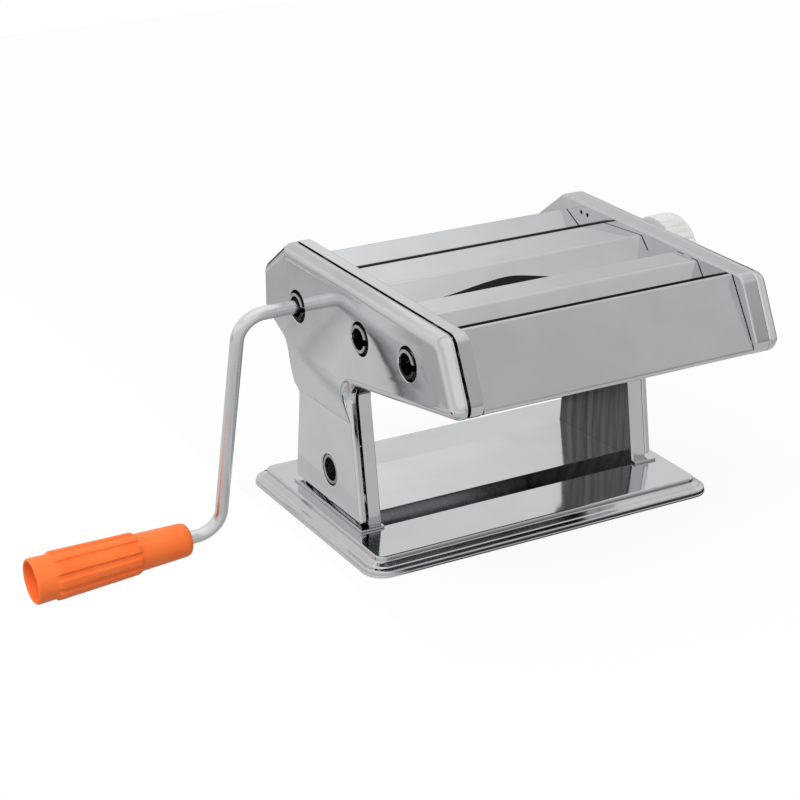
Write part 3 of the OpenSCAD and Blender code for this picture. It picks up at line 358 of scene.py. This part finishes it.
# The rim's section from a corner's centre outwards: (distance, height, bend radius)
rim = [(0, deck_h, 0), (5.0, deck_h, 1.0), (5.2, 6.5, 0.8), (8.4, 5.3, 1.0), (9.0, 4.6, 0.5), (11.5, 3.9, 1.2),
       (11.7, 1.5, 0.4), (12, 1.3, 0.3), (12, 0.4, 0.3), (7.6, 0.4, 0)]
corner_x, corner_y = base_high.x - base_corner, base_high.y - base_corner
bm = bmesh.new()
bent_strip(bm, [(-corner_y - out, z, r) for out, z, r in rim], -corner_x, corner_x)
ends = [e for e in bm.edges if all(abs(v.co.x - corner_x * MM) < 1e-6 for v in e.verts)]
for centre, run in (((corner_x, -corner_y), (0, 2 * corner_y)), ((corner_x, corner_y), (-2 * corner_x, 0)),
                    ((-corner_x, corner_y), (0, -2 * corner_y)), ((-corner_x, -corner_y), None)):
    turned = bmesh.ops.spin(bm, geom=ends, cent=Vector((*centre, 0)) * MM, axis=(0, 0, 1), angle=math.radians(90),
                            steps=9, use_merge=False)["geom_last"]
    ends = [e for e in turned if isinstance(e, bmesh.types.BMEdge)]
    if run:
        grown = bmesh.ops.extrude_edge_only(bm, edges=ends)["geom"]
        bmesh.ops.translate(bm, verts=[v for v in grown if isinstance(v, bmesh.types.BMVert)],
                            vec=Vector((*run, 0)) * MM)
        ends = [e for e in grown if isinstance(e, bmesh.types.BMEdge)]
bmesh.ops.remove_doubles(bm, verts=bm.verts, dist=0.01 * MM)
bmesh.ops.dissolve_degenerate(bm, edges=bm.edges, dist=0.005 * MM)
deck = [e for e in bm.edges if e.is_boundary and all(abs(v.co.z - deck_h * MM) < 1e-6 for v in e.verts)]
bmesh.ops.contextual_create(bm, geom=deck)
bmesh.ops.recalc_face_normals(bm, faces=bm.faces)
if sum(f.normal.z * f.calc_area() for f in bm.faces) < 0:
    bmesh.ops.reverse_faces(bm, faces=bm.faces)
smooth_by_angle(bm, 40)
base_rim = piece("base_pressing", bm, chrome, "machine", "polished_steel", "base_plate")
sheet_thickness(base_rim, 1)
even_shading(base_rim)

# The deck is raised a little between the feet: it climbs from the back to a ridge and drops in a short
# slope in front. Its hems are sunk in the deck, and its ends stop just short of the side frames.
ridge_h, hem_sunk, hem_proud, raised_half = 12.3, 0.3, 0.02, 81.9
raised_section = [(38, deck_h - hem_sunk, 0), (37, deck_h + hem_proud, 1), (-21.5, ridge_h, 2),
                  (-34.5, deck_h + hem_proud, 1), (-35.5, deck_h - hem_sunk, 0)]
bm = bmesh.new()
bent_strip(bm, raised_section, -raised_half, raised_half, 4)
bmesh.ops.recalc_face_normals(bm, faces=bm.faces)
if sum(f.normal.z * f.calc_area() for f in bm.faces) < 0:
    bmesh.ops.reverse_faces(bm, faces=bm.faces)
smooth_by_angle(bm, 60)
raised = piece("raised_deck", bm, chrome, "machine", "polished_steel")
even_shading(raised)

satin = worked_metal("satin_finished_steel", ("#A6A7AA", "#B4B5B8"), 0.26, 2.5, 0.004)
rubber = moulded("black_nitrile_rubber", ("#171718", "#1F1F20"), 0.72, 0.8, 0.03)
frame["nodes"]["bottom_plate"].data.materials[0] = satin
frame["nodes"]["rubber_mat"].data.materials[0] = rubber


# --- Side frames ----------------------------------------------------------------------------------
# Each side frame is a steel pressing: a web that carries the bearings, with a flange turned outwards
# all round it and a foot bolted to the deck. It is polished and chromed as the base is, but the web's
# inner face below the hoppers is rougher, with a drawn grain, and its dark colour is painted shade.
leg_front_y, leg_front_z, leg_lean = -34, 9.4, 0.1636


def side_view(low):
    """The machine's side as (y, z, corner radius) from a height up, anticlockwise from the back foot."""
    leg_front = leg_front_y + leg_lean * (low - leg_front_z)
    return [(42, low, 2), (37, 64.5, 3), (42.5, 69.5, 3), (46, 91.5, 9), (71.5, 103.5, 9), (71.5, 129.5, 7),
            (45, 149.2, 6), (-120.28, 149.2, 7), (-138.8, 111, 7), (-20.88, 89.6, 11), (leg_front, low, 2)]


def pressing(bm, corners, edge_x, depth, radius, levels=(), steps=5):
    """A pressed shell: an outline that stands at edge_x turns through radius(z) into a face at depth(z)."""
    start = [bm.verts.new(Vector((edge_x, y, z)) * MM) for y, z, r in corners]
    bm.faces.new(start)
    for i, (y, z, r) in enumerate(corners):
        here, before, after = (Vector(corners[k % len(corners)][:2]) for k in (i, i - 1, i + 1))
        turn = (here - before).angle(after - here)
        bmesh.ops.bevel(bm, geom=[start[i]], offset=r * math.tan(turn / 2) * MM, offset_type="OFFSET",
                        affect="VERTICES", segments=8, profile=0.5, material=-1)
    for level in levels:
        bmesh.ops.bisect_plane(bm, geom=bm.verts[:] + bm.edges[:] + bm.faces[:], plane_co=(0, 0, level * MM),
                               plane_no=(0, 0, 1))
    home = bm.verts.layers.float_vector.new("home")
    inward = bm.verts.layers.float_vector.new("inward")
    for vert in bm.verts:
        into = [loop.face.normal.cross(loop.link_loop_next.vert.co - loop.vert.co).normalized()
                for edge in vert.link_edges if edge.is_boundary for loop in edge.link_loops]
        vert[home] = vert.co
        vert[inward] = (into[0] + into[1]) / (1 + into[0].dot(into[1]))
    faces = list(bm.faces)
    for step in range(steps + 1):
        angle = math.radians(90) * step / steps
        grown = bmesh.ops.extrude_face_region(bm, geom=faces)["geom"]
        bmesh.ops.delete(bm, geom=[f for f in faces if f.is_valid], context="FACES_ONLY")
        faces = [f for f in grown if isinstance(f, bmesh.types.BMFace)]
        for vert in (v for v in grown if isinstance(v, bmesh.types.BMVert)):
            r = radius(vert[home].z / MM)
            face_x = depth((vert[home].z + vert[inward].z * r * MM) / MM)
            back = r if abs(face_x) > abs(edge_x) else -r
            vert.co = vert[home] + vert[inward] * r * (1 - math.cos(angle)) * MM
            vert.co.x = math.copysign(abs(face_x) - back * (1 - math.sin(angle)), edge_x) * MM
    return faces


def with_holes(bm, face, holes, roll=0.0, lip=0.0, window=None):
    """Fills a flat face again round holes (y, z, radius). Where roll is given, their edges roll inwards
    to a lip; window is one more opening, as a matrix that places a unit square."""
    x, normal, edges = face.calc_center_median().x, face.normal.copy(), list(face.edges)
    bmesh.ops.delete(bm, geom=[face], context="FACES_ONLY")
    rings = []
    for y, z, r in holes:
        centre = Vector((x, y * MM, z * MM))
        made = bmesh.ops.create_circle(bm, segments=48, radius=(r + roll) * MM,
                                       matrix=Matrix.Translation(centre) @ Matrix.Rotation(math.radians(90), 4, "Y"))
        rings.append((centre, r, list({e for v in made["verts"] for e in v.link_edges})))
        edges += rings[-1][2]
    if window:
        square = bmesh.ops.create_grid(bm, x_segments=1, y_segments=1, size=0.5, matrix=window)["verts"]
        edges += list({e for v in square for e in v.link_edges})
        bmesh.ops.delete(bm, geom=list({f for v in square for f in v.link_faces}), context="FACES_ONLY")
    bmesh.ops.triangle_fill(bm, edges=edges, use_beauty=True, normal=normal)
    turns = [math.radians(30 * step) for step in (1, 2, 3)] if roll else []
    for centre, r, ring in rings:
        for step, angle in enumerate(turns + turns[2:]):
            grown = bmesh.ops.extrude_edge_only(bm, edges=ring)["geom"]
            ring = [e for e in grown if isinstance(e, bmesh.types.BMEdge)]
            reach = (r + roll - roll * math.sin(angle)) * MM
            sink = (roll - roll * math.cos(angle) + (lip if step == 3 else 0)) * MM
            for vert in (v for v in grown if isinstance(v, bmesh.types.BMVert)):
                out = vert.co - centre
                out.x = 0
                vert.co = centre + out.normalized() * reach - Vector((math.copysign(sink, x), 0, 0))


def finish_shell(bm, outwards):
    """Merges, turns a shell's faces outwards, and shades it smooth."""
    bmesh.ops.remove_doubles(bm, verts=bm.verts, dist=0.005 * MM)
    bmesh.ops.recalc_face_normals(bm, faces=bm.faces)
    if sum(f.normal.dot(Vector(outwards)) * f.calc_area() for f in bm.faces) < 0:
        bmesh.ops.reverse_faces(bm, faces=bm.faces)
    smooth_by_angle(bm, 40)


# A dark base colour that paints shade on the webs' inner faces, over a drawn grain.
inner_face_shade_steel = worked_metal("inner_face_painted_shade", ("#4A4A4C", "#777779"), 0.3, 5, 0.004, (1, 1, 0.06))
sockets = [(29.3, 117.9), (-40.65, 122.55), (-89.64, 125.80)]
mates = [(-59.80, 123.82), (-108.8, 127.07)]
regulator = (-17.83, 127.34)
moving = (-1.03, 119.92)
rake = math.radians(3.8)
posts = [(57, 120), (-8, 139.6), (-74.7, 138.6), (-124.5, 120)]
rods = [(55, 108), (-26, 104), (-74.7, 112), (-119, 114)]
clamp = (2, 31.4)
web_x, web_t = 82, 1.4
shade_painted_below = 112
tab_holes = [(25.7, 143.4, 1.2), (19.6, 143.4, 1.2)]
cutter_hole, bush_hole, shaft_hole, rod_hole, screw_hole, clamp_hole = 7.6, 6.1, 5.1, 2.1, 1.7, 8.2
gap_travel, window_y, window_z = 2.1, 15.2, 17.7
# The foot as (from y, to y), (from z, to z) and its outer edge
foot = ((-36.6, 41.4), (9.41, 10.82), 96.6)
for name, side, flange_x in (("left", -1, 89.8), ("right", 1, 90.8)):
    bm = bmesh.new()
    web = max(pressing(bm, side_view(deck_h), side * flange_x, lambda z: web_x, lambda z: 1.3),
              key=lambda f: f.calc_area())
    wide, narrow = (sockets, mates) if side < 0 else ([], sockets + mates)
    holes = [(y, z, cutter_hole) for y, z in wide] + [(y, z, bush_hole) for y, z in narrow]
    holes += [(*regulator, shaft_hole)] + [(y, z, rod_hole) for y, z in rods]
    holes += [(y, z, screw_hole) for y, z in posts] + tab_holes
    holes += [(*clamp, clamp_hole)] if side < 0 else []
    window = (Matrix.Translation(Vector((side * web_x, moving[0] + gap_travel / 2, moving[1])) * MM)
              @ Matrix.Rotation(-rake, 4, "X") @ Matrix.Rotation(math.radians(90), 4, "Y")
              @ Matrix.Diagonal((window_y * MM, window_z * MM, 1, 1)))
    with_holes(bm, web, holes, window=window)
    bmesh.ops.delete(bm, geom=[f for f in bm.faces if len(f.verts) > 50], context="FACES_ONLY")
    finish_shell(bm, (-side, 0, 0))
    bmesh.ops.bisect_plane(bm, geom=bm.verts[:] + bm.edges[:] + bm.faces[:], plane_co=(0, 0, shade_painted_below * MM),
                           plane_no=(0, 0, 1))
    bmesh.ops.solidify(bm, geom=bm.faces[:], thickness=web_t * MM)
    block = bmesh.ops.create_cube(bm, size=1, matrix=Matrix.Translation(
        Vector((side * (web_x + foot[2]) / 2, sum(foot[0]) / 2, sum(foot[1]) / 2)) * MM) @ Matrix.Diagonal(
        ((foot[2] - web_x) * MM, (foot[0][1] - foot[0][0]) * MM, (foot[1][1] - foot[1][0]) * MM, 1)))["verts"]
    bmesh.ops.bevel(bm, geom=list({e for v in block for e in v.link_edges}), offset=0.35 * MM, offset_type="OFFSET",
                    affect="EDGES", segments=2, profile=0.5, material=-1)
    smooth_by_angle(bm, 40)
    pressed = piece(name + "_side_pressing", bm, chrome, "machine", "polished_steel", name + "_frame")
    pressed.data.materials.append(inner_face_shade_steel)
    # Below that height the web's inner faces take the second material, whose dark colour is painted shade.
    for face in pressed.data.polygons:
        if abs(face.normal.x) > 0.9 and abs(face.center.x) < (web_x + 0.2) * MM and face.center.z < shade_painted_below * MM:
            face.material_index = 1
    even_shading(pressed)

# --- Panels ---------------------------------------------------------------------------------------
# Four bent chromed sheets close the top and the front between the side frames and make the three
# hoppers. Tabs on their ends pass through slots in the frames and are folded over.
body_of = {node: body for body, nodes in frame["record"]["behaviour"]["bodies"].items() for node in nodes}
slot_of = {part["node"]: part["material_slot"] for part in frame["record"]["subparts"]}


def dressed(node, material, bevel=0.0, degrees=32):
    """A merged, smooth-shaded copy of a node, with its sharp edges broken by a small bevel."""
    bm = bmesh.new()
    bm.from_mesh(frame["nodes"][node].data)
    bmesh.ops.remove_doubles(bm, verts=bm.verts, dist=0.002 * MM)
    if bevel:
        bmesh.ops.dissolve_limit(bm, angle_limit=math.radians(1), verts=bm.verts, edges=bm.edges)
    smooth_by_angle(bm, degrees)
    made = piece(node + "_finished", bm, material, body_of[node], slot_of[node], node)
    if bevel:
        rounding = made.modifiers.new("broken_edges", "BEVEL")
        rounding.width = bevel * MM
        rounding.segments = 2
        rounding.limit_method = "ANGLE"
        rounding.angle_limit = math.radians(50)
    even_shading(made)
    return made


# Shade is painted into the sheet's colour in the throats of the hoppers, as dark bands: along a straight
# lip in the rear and front ones, and along a bowed lip in the middle one. Lips as y in millimetres.
rear_lip_edge, rear_lip_from = (27.9, 28.4), 10
bow_left, bow_right, bow_least, bow_deep = (-66, -6), (-10, 26), 0.1, 4.2
middle_lip_edge, middle_lip_to = -42.8, -50
front_lip_y, front_lip_half = -94, 5.4
shaded_panel_chrome = polished_steel("chromed_panel_sheet_painted_shade", ("#D2D3D5", "#D8D9DB"), 0.08, 45, 0.012)
tree = shaded_panel_chrome.node_tree
shader = tree.nodes["Principled BSDF"]
on_sheet = add_node(tree, "ShaderNodeSeparateXYZ", {"Vector": add_node(tree, "ShaderNodeTexCoord").outputs["Object"]})
rear_lip = add_node(tree, "ShaderNodeMapRange", {"Value": on_sheet.outputs["Y"], "From Min": rear_lip_edge[0] * MM,
                                                 "From Max": rear_lip_edge[1] * MM, "To Min": 1.0, "To Max": 0.0})
in_rear = add_node(tree, "ShaderNodeMath", {0: on_sheet.outputs["Y"], 1: rear_lip_from * MM},
                   operation="GREATER_THAN")
rear_lip = add_node(tree, "ShaderNodeMath", {0: rear_lip.outputs[0], 1: in_rear.outputs[0]}, operation="MULTIPLY")
rising = add_node(tree, "ShaderNodeMapRange", {"Value": on_sheet.outputs["X"], "From Min": bow_left[0] * MM,
                                               "From Max": bow_left[1] * MM, "To Min": bow_least, "To Max": 1.0},
                  interpolation_type="SMOOTHSTEP")
falling = add_node(tree, "ShaderNodeMapRange", {"Value": on_sheet.outputs["X"], "From Min": bow_right[0] * MM,
                                                "From Max": bow_right[1] * MM, "To Min": 1.0, "To Max": bow_least},
                   interpolation_type="SMOOTHSTEP")
bow = add_node(tree, "ShaderNodeMath", {0: rising.outputs[0], 1: falling.outputs[0]}, operation="MULTIPLY")
bowed_edge = add_node(tree, "ShaderNodeMath", {0: bow.outputs[0], 1: bow_deep * MM, 2: middle_lip_edge * MM},
                      operation="MULTIPLY_ADD")
before_edge = add_node(tree, "ShaderNodeMath", {0: on_sheet.outputs["Y"], 1: bowed_edge.outputs[0]},
                       operation="LESS_THAN")
in_middle = add_node(tree, "ShaderNodeMath", {0: on_sheet.outputs["Y"], 1: middle_lip_to * MM},
                     operation="GREATER_THAN")
middle_lip = add_node(tree, "ShaderNodeMath", {0: before_edge.outputs[0], 1: in_middle.outputs[0]},
                      operation="MULTIPLY")
front_lip = add_node(tree, "ShaderNodeMath", {0: on_sheet.outputs["Y"], 1: front_lip_y * MM, 2: front_lip_half * MM},
                     operation="COMPARE")
throat_shade_mask = add_node(tree, "ShaderNodeMath", {0: rear_lip.outputs[0], 1: middle_lip.outputs[0]}, operation="MAXIMUM")
throat_shade_mask = add_node(tree, "ShaderNodeMath", {0: throat_shade_mask.outputs[0], 1: front_lip.outputs[0]}, operation="MAXIMUM")
# The lips are painted shade: the sheet's colour is darkened to near black there.
plain = shader.inputs["Base Color"].links[0].from_socket
throat_shade_colour = add_node(tree, "ShaderNodeMix", {0: throat_shade_mask.outputs[0], 6: plain, 7: linear("#2A2A2B")}, data_type="RGBA")
tree.links.new(throat_shade_colour.outputs[2], shader.inputs["Base Color"])
# The front panel's face leans back from this height up, so its top bend sits further back and higher
face_from_y, face_from_z, face_h, top_back, top_up = -112, 112.5, 33, 6, 2.6
for node in ("rear_panel", "centre_panel", "cutter_panel", "front_panel"):
    made = dressed(node, shaded_panel_chrome)
    if node == "front_panel":
        for vert in made.data.vertices:
            if vert.co.y < face_from_y * MM and vert.co.z > face_from_z * MM:
                up = min((vert.co.z / MM - face_from_z) / face_h, 1)
                vert.co += Vector((0, top_back * up, top_up * up)) * MM

# --- Rollers and gears ----------------------------------------------------------------------------
# The smooth rollers are ground and nickelled steel. Their gears are cut from plain steel, which stays
# grey and oily, and every shaft runs in a flanged bushing of sintered bronze.
ground = worked_metal("ground_nickelled_steel", ("#B4B5B8", "#C2C3C6"), 0.14, 1.2, 0.002)
gear_grey = worked_metal("oiled_gear_steel", ("#77787B", "#8D8E91"), 0.36, 1.5, 0.01)
bronze = worked_metal("sintered_bronze", ("#94714A", "#AB865A"), 0.46, 0.9, 0.012)
for node in ("drive_roller", "moving_roller"):
    frame["nodes"][node].data.materials[0] = ground
for node in ("drive_gear", "moving_gear", "wide_cutter_gear", "wide_mate_gear", "narrow_cutter_gear",
             "narrow_mate_gear"):
    frame["nodes"][node].data.materials[0] = gear_grey
for node in ("roller_bushings", "cutter_bushings", "regulator_bushings", "left_bearing_block", "right_bearing_block"):
    frame["nodes"][node].data.materials[0] = bronze

# --- Cutters --------------------------------------------------------------------------------------
# Discs turned on one steel core, two rollers to a pair, with steel combs between the discs that lift
# the strips out and scrapers under the smooth rollers.
turned = worked_metal("turned_cutter_steel", ("#A0A1A4", "#B2B3B6"), 0.2, 1.0, 0.003)
for node in ("wide_cutter", "wide_mate", "narrow_cutter", "narrow_mate"):
    frame["nodes"][node].data.materials[0] = turned
for node in ("wide_combs", "narrow_combs", "roller_scrapers"):
    frame["nodes"][node].data.materials[0] = satin

# --- Crank sockets --------------------------------------------------------------------------------
# A satin steel bush pressed into each driven shaft: two notches in its head take the crank's pin, and
# its deep bore has shade painted into its colour.
bore_shade = worked_metal("socket_bore_painted_shade", ("#26221F", "#34302C"), 0.45, 1.2, 0.01)
bore_r, head_x, bore_end_x = 6.3, -92, -97
bright = worked_metal("burnished_socket_steel", ("#B2B2B4", "#C6C6C8"), 0.16, 2.0, 0.003)
for node, axis in zip(("drive_socket", "wide_cutter_socket", "narrow_cutter_socket"), sockets):
    made = dressed(node, bright, 0.45)
    # The bore's faces take a near-black colour that is painted shade.
    made.data.materials.append(bore_shade)
    for face in made.data.polygons:
        out = Vector((0, face.center.y - axis[0] * MM, face.center.z - axis[1] * MM))
        in_head = out.length < bore_r * MM and face.center.x < head_x * MM
        if in_head and (face.normal.dot(out) < 0 or face.center.x > bore_end_x * MM):
            face.material_index = 1

# --- Covers ---------------------------------------------------------------------------------------
# A drawn cover closes each side over the gears: deep over the mechanism, shallow over the leg, with a
# soft slope between them. The crank's sockets and the clamp's socket look out of holes in the left one.
slope_low, slope_top = 67, 93
seam_x, left_seam_gap = 91.2, 0.4
cover_low_edge, cover_t = 12.4, 0.8
socket_window, clamp_window, hole_lip = 9.1, 8.8, 0.9
# Drawing leaves the flat faces slightly hollow, more and more towards the lower front. The hollow
# begins on a slanted line and is too slight for the mesh, so the material's bump gives it.
hollow_lean, hollow_from_z, hollow_from_y, hollow_turn, hollow_spread = 1.3, 136, 22, 0.3, 80
mirror = polished_steel("chromed_cover_sheet", ("#D2D3D5", "#D8D9DB"), 0.05, 45, 0.004)
tree = mirror.node_tree
on_cover = add_node(tree, "ShaderNodeSeparateXYZ", {"Vector": add_node(tree, "ShaderNodeTexCoord").outputs["Object"]})
down = add_node(tree, "ShaderNodeMath", {0: on_cover.outputs["Z"], 1: -hollow_lean,
                                         2: (hollow_from_z * hollow_lean - hollow_from_y) * MM},
                operation="MULTIPLY_ADD")
past = add_node(tree, "ShaderNodeMath", {0: down.outputs[0], 1: on_cover.outputs["Y"]}, operation="SUBTRACT")
past = add_node(tree, "ShaderNodeMath", {0: past.outputs[0], 1: 0.0}, operation="MAXIMUM")
fading = add_node(tree, "ShaderNodeMath", {0: past.outputs[0], 1: -1 / (hollow_spread * MM)}, operation="MULTIPLY")
fading = add_node(tree, "ShaderNodeMath", {0: fading.outputs[0]}, operation="EXPONENT")
fading = add_node(tree, "ShaderNodeMath", {0: fading.outputs[0], 1: hollow_spread * MM, 2: -hollow_spread * MM},
                  operation="MULTIPLY_ADD")
hollow = add_node(tree, "ShaderNodeMath", {0: past.outputs[0], 1: fading.outputs[0]}, operation="ADD")
drawn = add_node(tree, "ShaderNodeBump", {"Height": hollow.outputs[0], "Distance": hollow_turn, "Strength": 1.0})
uneven = next(node for node in tree.nodes if node.bl_idname == "ShaderNodeBump" and node != drawn)
tree.links.new(drawn.outputs["Normal"], uneven.inputs["Normal"])


def ease(a, b, z):
    """Goes from a on the leg to b on the head, steeply at first and levelling out at the top."""
    return a + (b - a) * math.sin(math.radians(90) * min(max((z - slope_low) / (slope_top - slope_low), 0), 1))


slope_rows = [slope_low + (slope_top - slope_low) * k / 13 for k in range(14)]
for name, side in (("left", -1), ("right", 1)):
    bm = bmesh.new()
    edge_x = seam_x + (left_seam_gap if side < 0 else 0)
    faces = pressing(bm, side_view(cover_low_edge), side * edge_x, lambda z: ease(95, 99, z),
                     lambda z: ease(1.5, 6, z), slope_rows)
    head = max(faces, key=lambda f: f.calc_center_median().z)
    leg = min(faces, key=lambda f: f.calc_center_median().z)
    if side < 0:
        with_holes(bm, head, [(y, z, socket_window) for y, z in sockets], 0.7, hole_lip)
        with_holes(bm, leg, [(*clamp, clamp_window)], 0.6, hole_lip)
    else:
        with_holes(bm, head, [(*regulator, shaft_hole)], 0.6, hole_lip)
    cap_x = (seam_x + left_seam_gap + 0.001) * MM
    bmesh.ops.delete(bm, geom=[f for f in bm.faces if abs(f.calc_center_median().x) < cap_x], context="FACES_ONLY")
    finish_shell(bm, (side, 0, 0))
    cover = piece(name + "_cover_pressing", bm, mirror, "machine", "polished_steel", name + "_cover")
    sheet_thickness(cover, cover_t)
    even_shading(cover)

# --- Fixings --------------------------------------------------------------------------------------
# Tie rods and nuts hold the frames apart, posts and screws hold the covers, and bolts hold the feet to
# the deck. All are bright zinc-plated steel, and the clamp's socket is a turned tube.
zinc = worked_metal("zinc_plated_steel", ("#B9BBBE", "#C8CACD"), 0.22, 2.2, 0.003)
for node in ("tie_rods", "cover_posts", "cover_screws", "regulator_shaft", "knob_washer", "knob_screw", "crank_pin",
             "grip_washer"):
    frame["nodes"][node].data.materials[0] = zinc
for node in ("tie_rod_nuts", "foot_bolts", "foot_nuts"):
    dressed(node, zinc, 0.3)
dressed("clamp_socket", satin, 0.4)

# --- Gap regulator --------------------------------------------------------------------------------
# The knob's shaft carries a steel snail cam at each side, which pushes the moving roller's bearing
# blocks. The knob is moulded in milky nylon, hollow at the front, with a ribbed grip.
for node in ("left_cam", "right_cam"):
    dressed(node, satin, 0.25)
nylon = moulded("milky_nylon", ("#C6C6C5", "#D4D4D2"), 0.22, 0.7, 0.006, 0.5)
knob_low, knob_high = (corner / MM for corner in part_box("knob"))
knob_r = (knob_high.y - knob_low.y) / 2
ribs, rib_deep, wall, web = 30, 0.5, 5.2, 4
# The knob's section as (distance from the axis, distance from its inner face, share of the ribs)
knob_section = [(9, 0, 0), (knob_r - 1.2, 0, 0), (knob_r - 0.3, 0.3, 0.5), (knob_r, 1.2, 1), (knob_r, 7, 1),
                (knob_r, 13.2, 1), (knob_r - 0.2, 14.4, 0.7), (knob_r - 0.8, 15.8, 0.2), (knob_r - 1.8, 16.7, 0),
                (knob_r - 3.2, 17, 0), (knob_r - 4.4, 16.8, 0), (knob_r - wall, 15.6, 0), (knob_r - wall - 0.4, 10, 0),
                (knob_r - wall - 0.6, web + 0.8, 0), (knob_r - wall - 1.6, web, 0), (9, web, 0)]
bm = bmesh.new()
ring = bmesh.ops.create_circle(bm, segments=ribs * 8, radius=9 * MM)["verts"]
edges = list({e for v in ring for e in v.link_edges})
loops = [edges]
for radius, out, share in knob_section[1:]:
    grown = bmesh.ops.extrude_edge_only(bm, edges=edges)["geom"]
    edges = [e for e in grown if isinstance(e, bmesh.types.BMEdge)]
    loops.append(edges)
    for vert in (v for v in grown if isinstance(v, bmesh.types.BMVert)):
        angle = math.atan2(vert.co.y, vert.co.x)
        groove = (0.5 - 0.5 * math.cos(ribs * angle)) ** 2
        reach = (radius - rib_deep * share * groove) * MM
        vert.co = Vector((math.cos(angle) * reach, math.sin(angle) * reach, out * MM))
for loop in (loops[0], loops[-1]):
    bmesh.ops.contextual_create(bm, geom=loop)
bmesh.ops.transform(bm, verts=bm.verts, matrix=Matrix.Translation(
    Vector((knob_low.x, *regulator)) * MM) @ Matrix.Rotation(math.radians(90), 4, "Y"))
bmesh.ops.recalc_face_normals(bm, faces=bm.faces)
smooth_by_angle(bm, 50)
piece("ribbed_knob", bm, nylon, "regulator", "clear_nylon", "knob")

# --- Crank ----------------------------------------------------------------------------------------
# A steel rod, bent twice and nickelled, with a pin across its driving end. The loose grip is moulded
# in orange ABS round an axle: a hollow cone with ten raised pads and an open mouth.
nickel = polished_steel("nickelled_rod", ("#E6E7E9", "#EEEFF1"), 0.26, 14, 0.004)
frame["nodes"]["crank_rod"].data.materials[0] = nickel
orange = moulded("orange_abs", ("#FF7430", "#FF7E3C"), 0.42, 0.5, 0.006)
orange.node_tree.nodes["Principled BSDF"].inputs["Specular IOR Level"].default_value = 0.3
rod_corner = Vector((-133.6, 63.405, -22.003))
grip_way = Vector((-0.999123, 0.009918, -0.040684)).normalized()
grip_start, grip_len, grip_r, mouth_r = 19.5, 94, 9.6, 13.2
pads, pad_start, pad_end, pad_h, pad_share = 10, 32, 82, 1.3, 0.62
mouth_deep, mouth_wall, axle_r = 30, 2, 3.05


def cone(z):
    return grip_r + (mouth_r - grip_r) * z / grip_len


# The grip's section as (distance along it, distance from its skin); the skin is there where that is 0
skin = [(0, -3.6), (0.25, -2.2), (1.1, -1.0), (2.4, -0.25), (4, 0), (16, 0)]
skin += [(pad_start - 1.6, 0), (pad_start, 0), (pad_start + 0.7, 0), (pad_start + 1.6, 0)]
skin += [(pad_start + (pad_end - pad_start) * k / 8, 0) for k in range(1, 8)]
skin += [(pad_end - 1.6, 0), (pad_end - 0.7, 0), (pad_end, 0), (pad_end + 1.6, 0), (92.6, 0), (93.5, -0.25)]
skin += [(94, -0.9)]
skin += [(94, -1.3), (93.6, -1.8), (92.6, -mouth_wall), (78, -mouth_wall), (grip_len - mouth_deep, -mouth_wall)]


def ease_in(x):
    x = min(max(x, 0), 1)
    return x * x * (3 - 2 * x)


bm = bmesh.new()
ring = bmesh.ops.create_circle(bm, segments=pads * 24, radius=1)["verts"]
edges = list({e for v in ring for e in v.link_edges})
first = edges
for i, (z, deep) in enumerate(skin):
    if i:
        grown = bmesh.ops.extrude_edge_only(bm, edges=edges)["geom"]
        edges = [e for e in grown if isinstance(e, bmesh.types.BMEdge)]
        ring = [v for v in grown if isinstance(v, bmesh.types.BMVert)]
    for vert in ring:
        angle = math.atan2(vert.co.y, vert.co.x)
        across = abs(angle * pads / math.tau % 1 - 0.5) * math.tau * cone(z) / pads
        pad_half = pad_share / 2 * math.tau * cone(z) / pads
        pad = (ease_in((pad_half - across) / 0.9 + 0.5) * ease_in((z - pad_start + 0.4) / 1.4)
               * ease_in((pad_end + 0.4 - z) / 1.4))
        reach = cone(z) + deep + (pad * pad_h if deep == 0 else 0)
        vert.co = Vector((math.cos(angle) * reach, math.sin(angle) * reach, z))
for loop, z in ((first, 0), (edges, grip_len - mouth_deep)):
    grown = bmesh.ops.extrude_edge_only(bm, edges=loop)["geom"]
    for vert in (v for v in grown if isinstance(v, bmesh.types.BMVert)):
        flat = vert.co.xy.normalized() * axle_r
        vert.co = Vector((flat.x, flat.y, z))
bm.normal_update()
grip_end = rod_corner + grip_way * grip_start
laid_over = Vector((0, 0, 1)).rotation_difference(grip_way).to_matrix().to_4x4()
bmesh.ops.transform(bm, verts=bm.verts, matrix=Matrix.Scale(MM, 4) @ Matrix.Translation(grip_end) @ laid_over)
inner = [e for e in bm.edges if e.is_boundary]
bmesh.ops.bridge_loops(bm, edges=inner)
bmesh.ops.recalc_face_normals(bm, faces=bm.faces)
smooth_by_angle(bm, 50)
piece("padded_grip", bm, orange, "grip", "orange_plastic", "crank_grip")
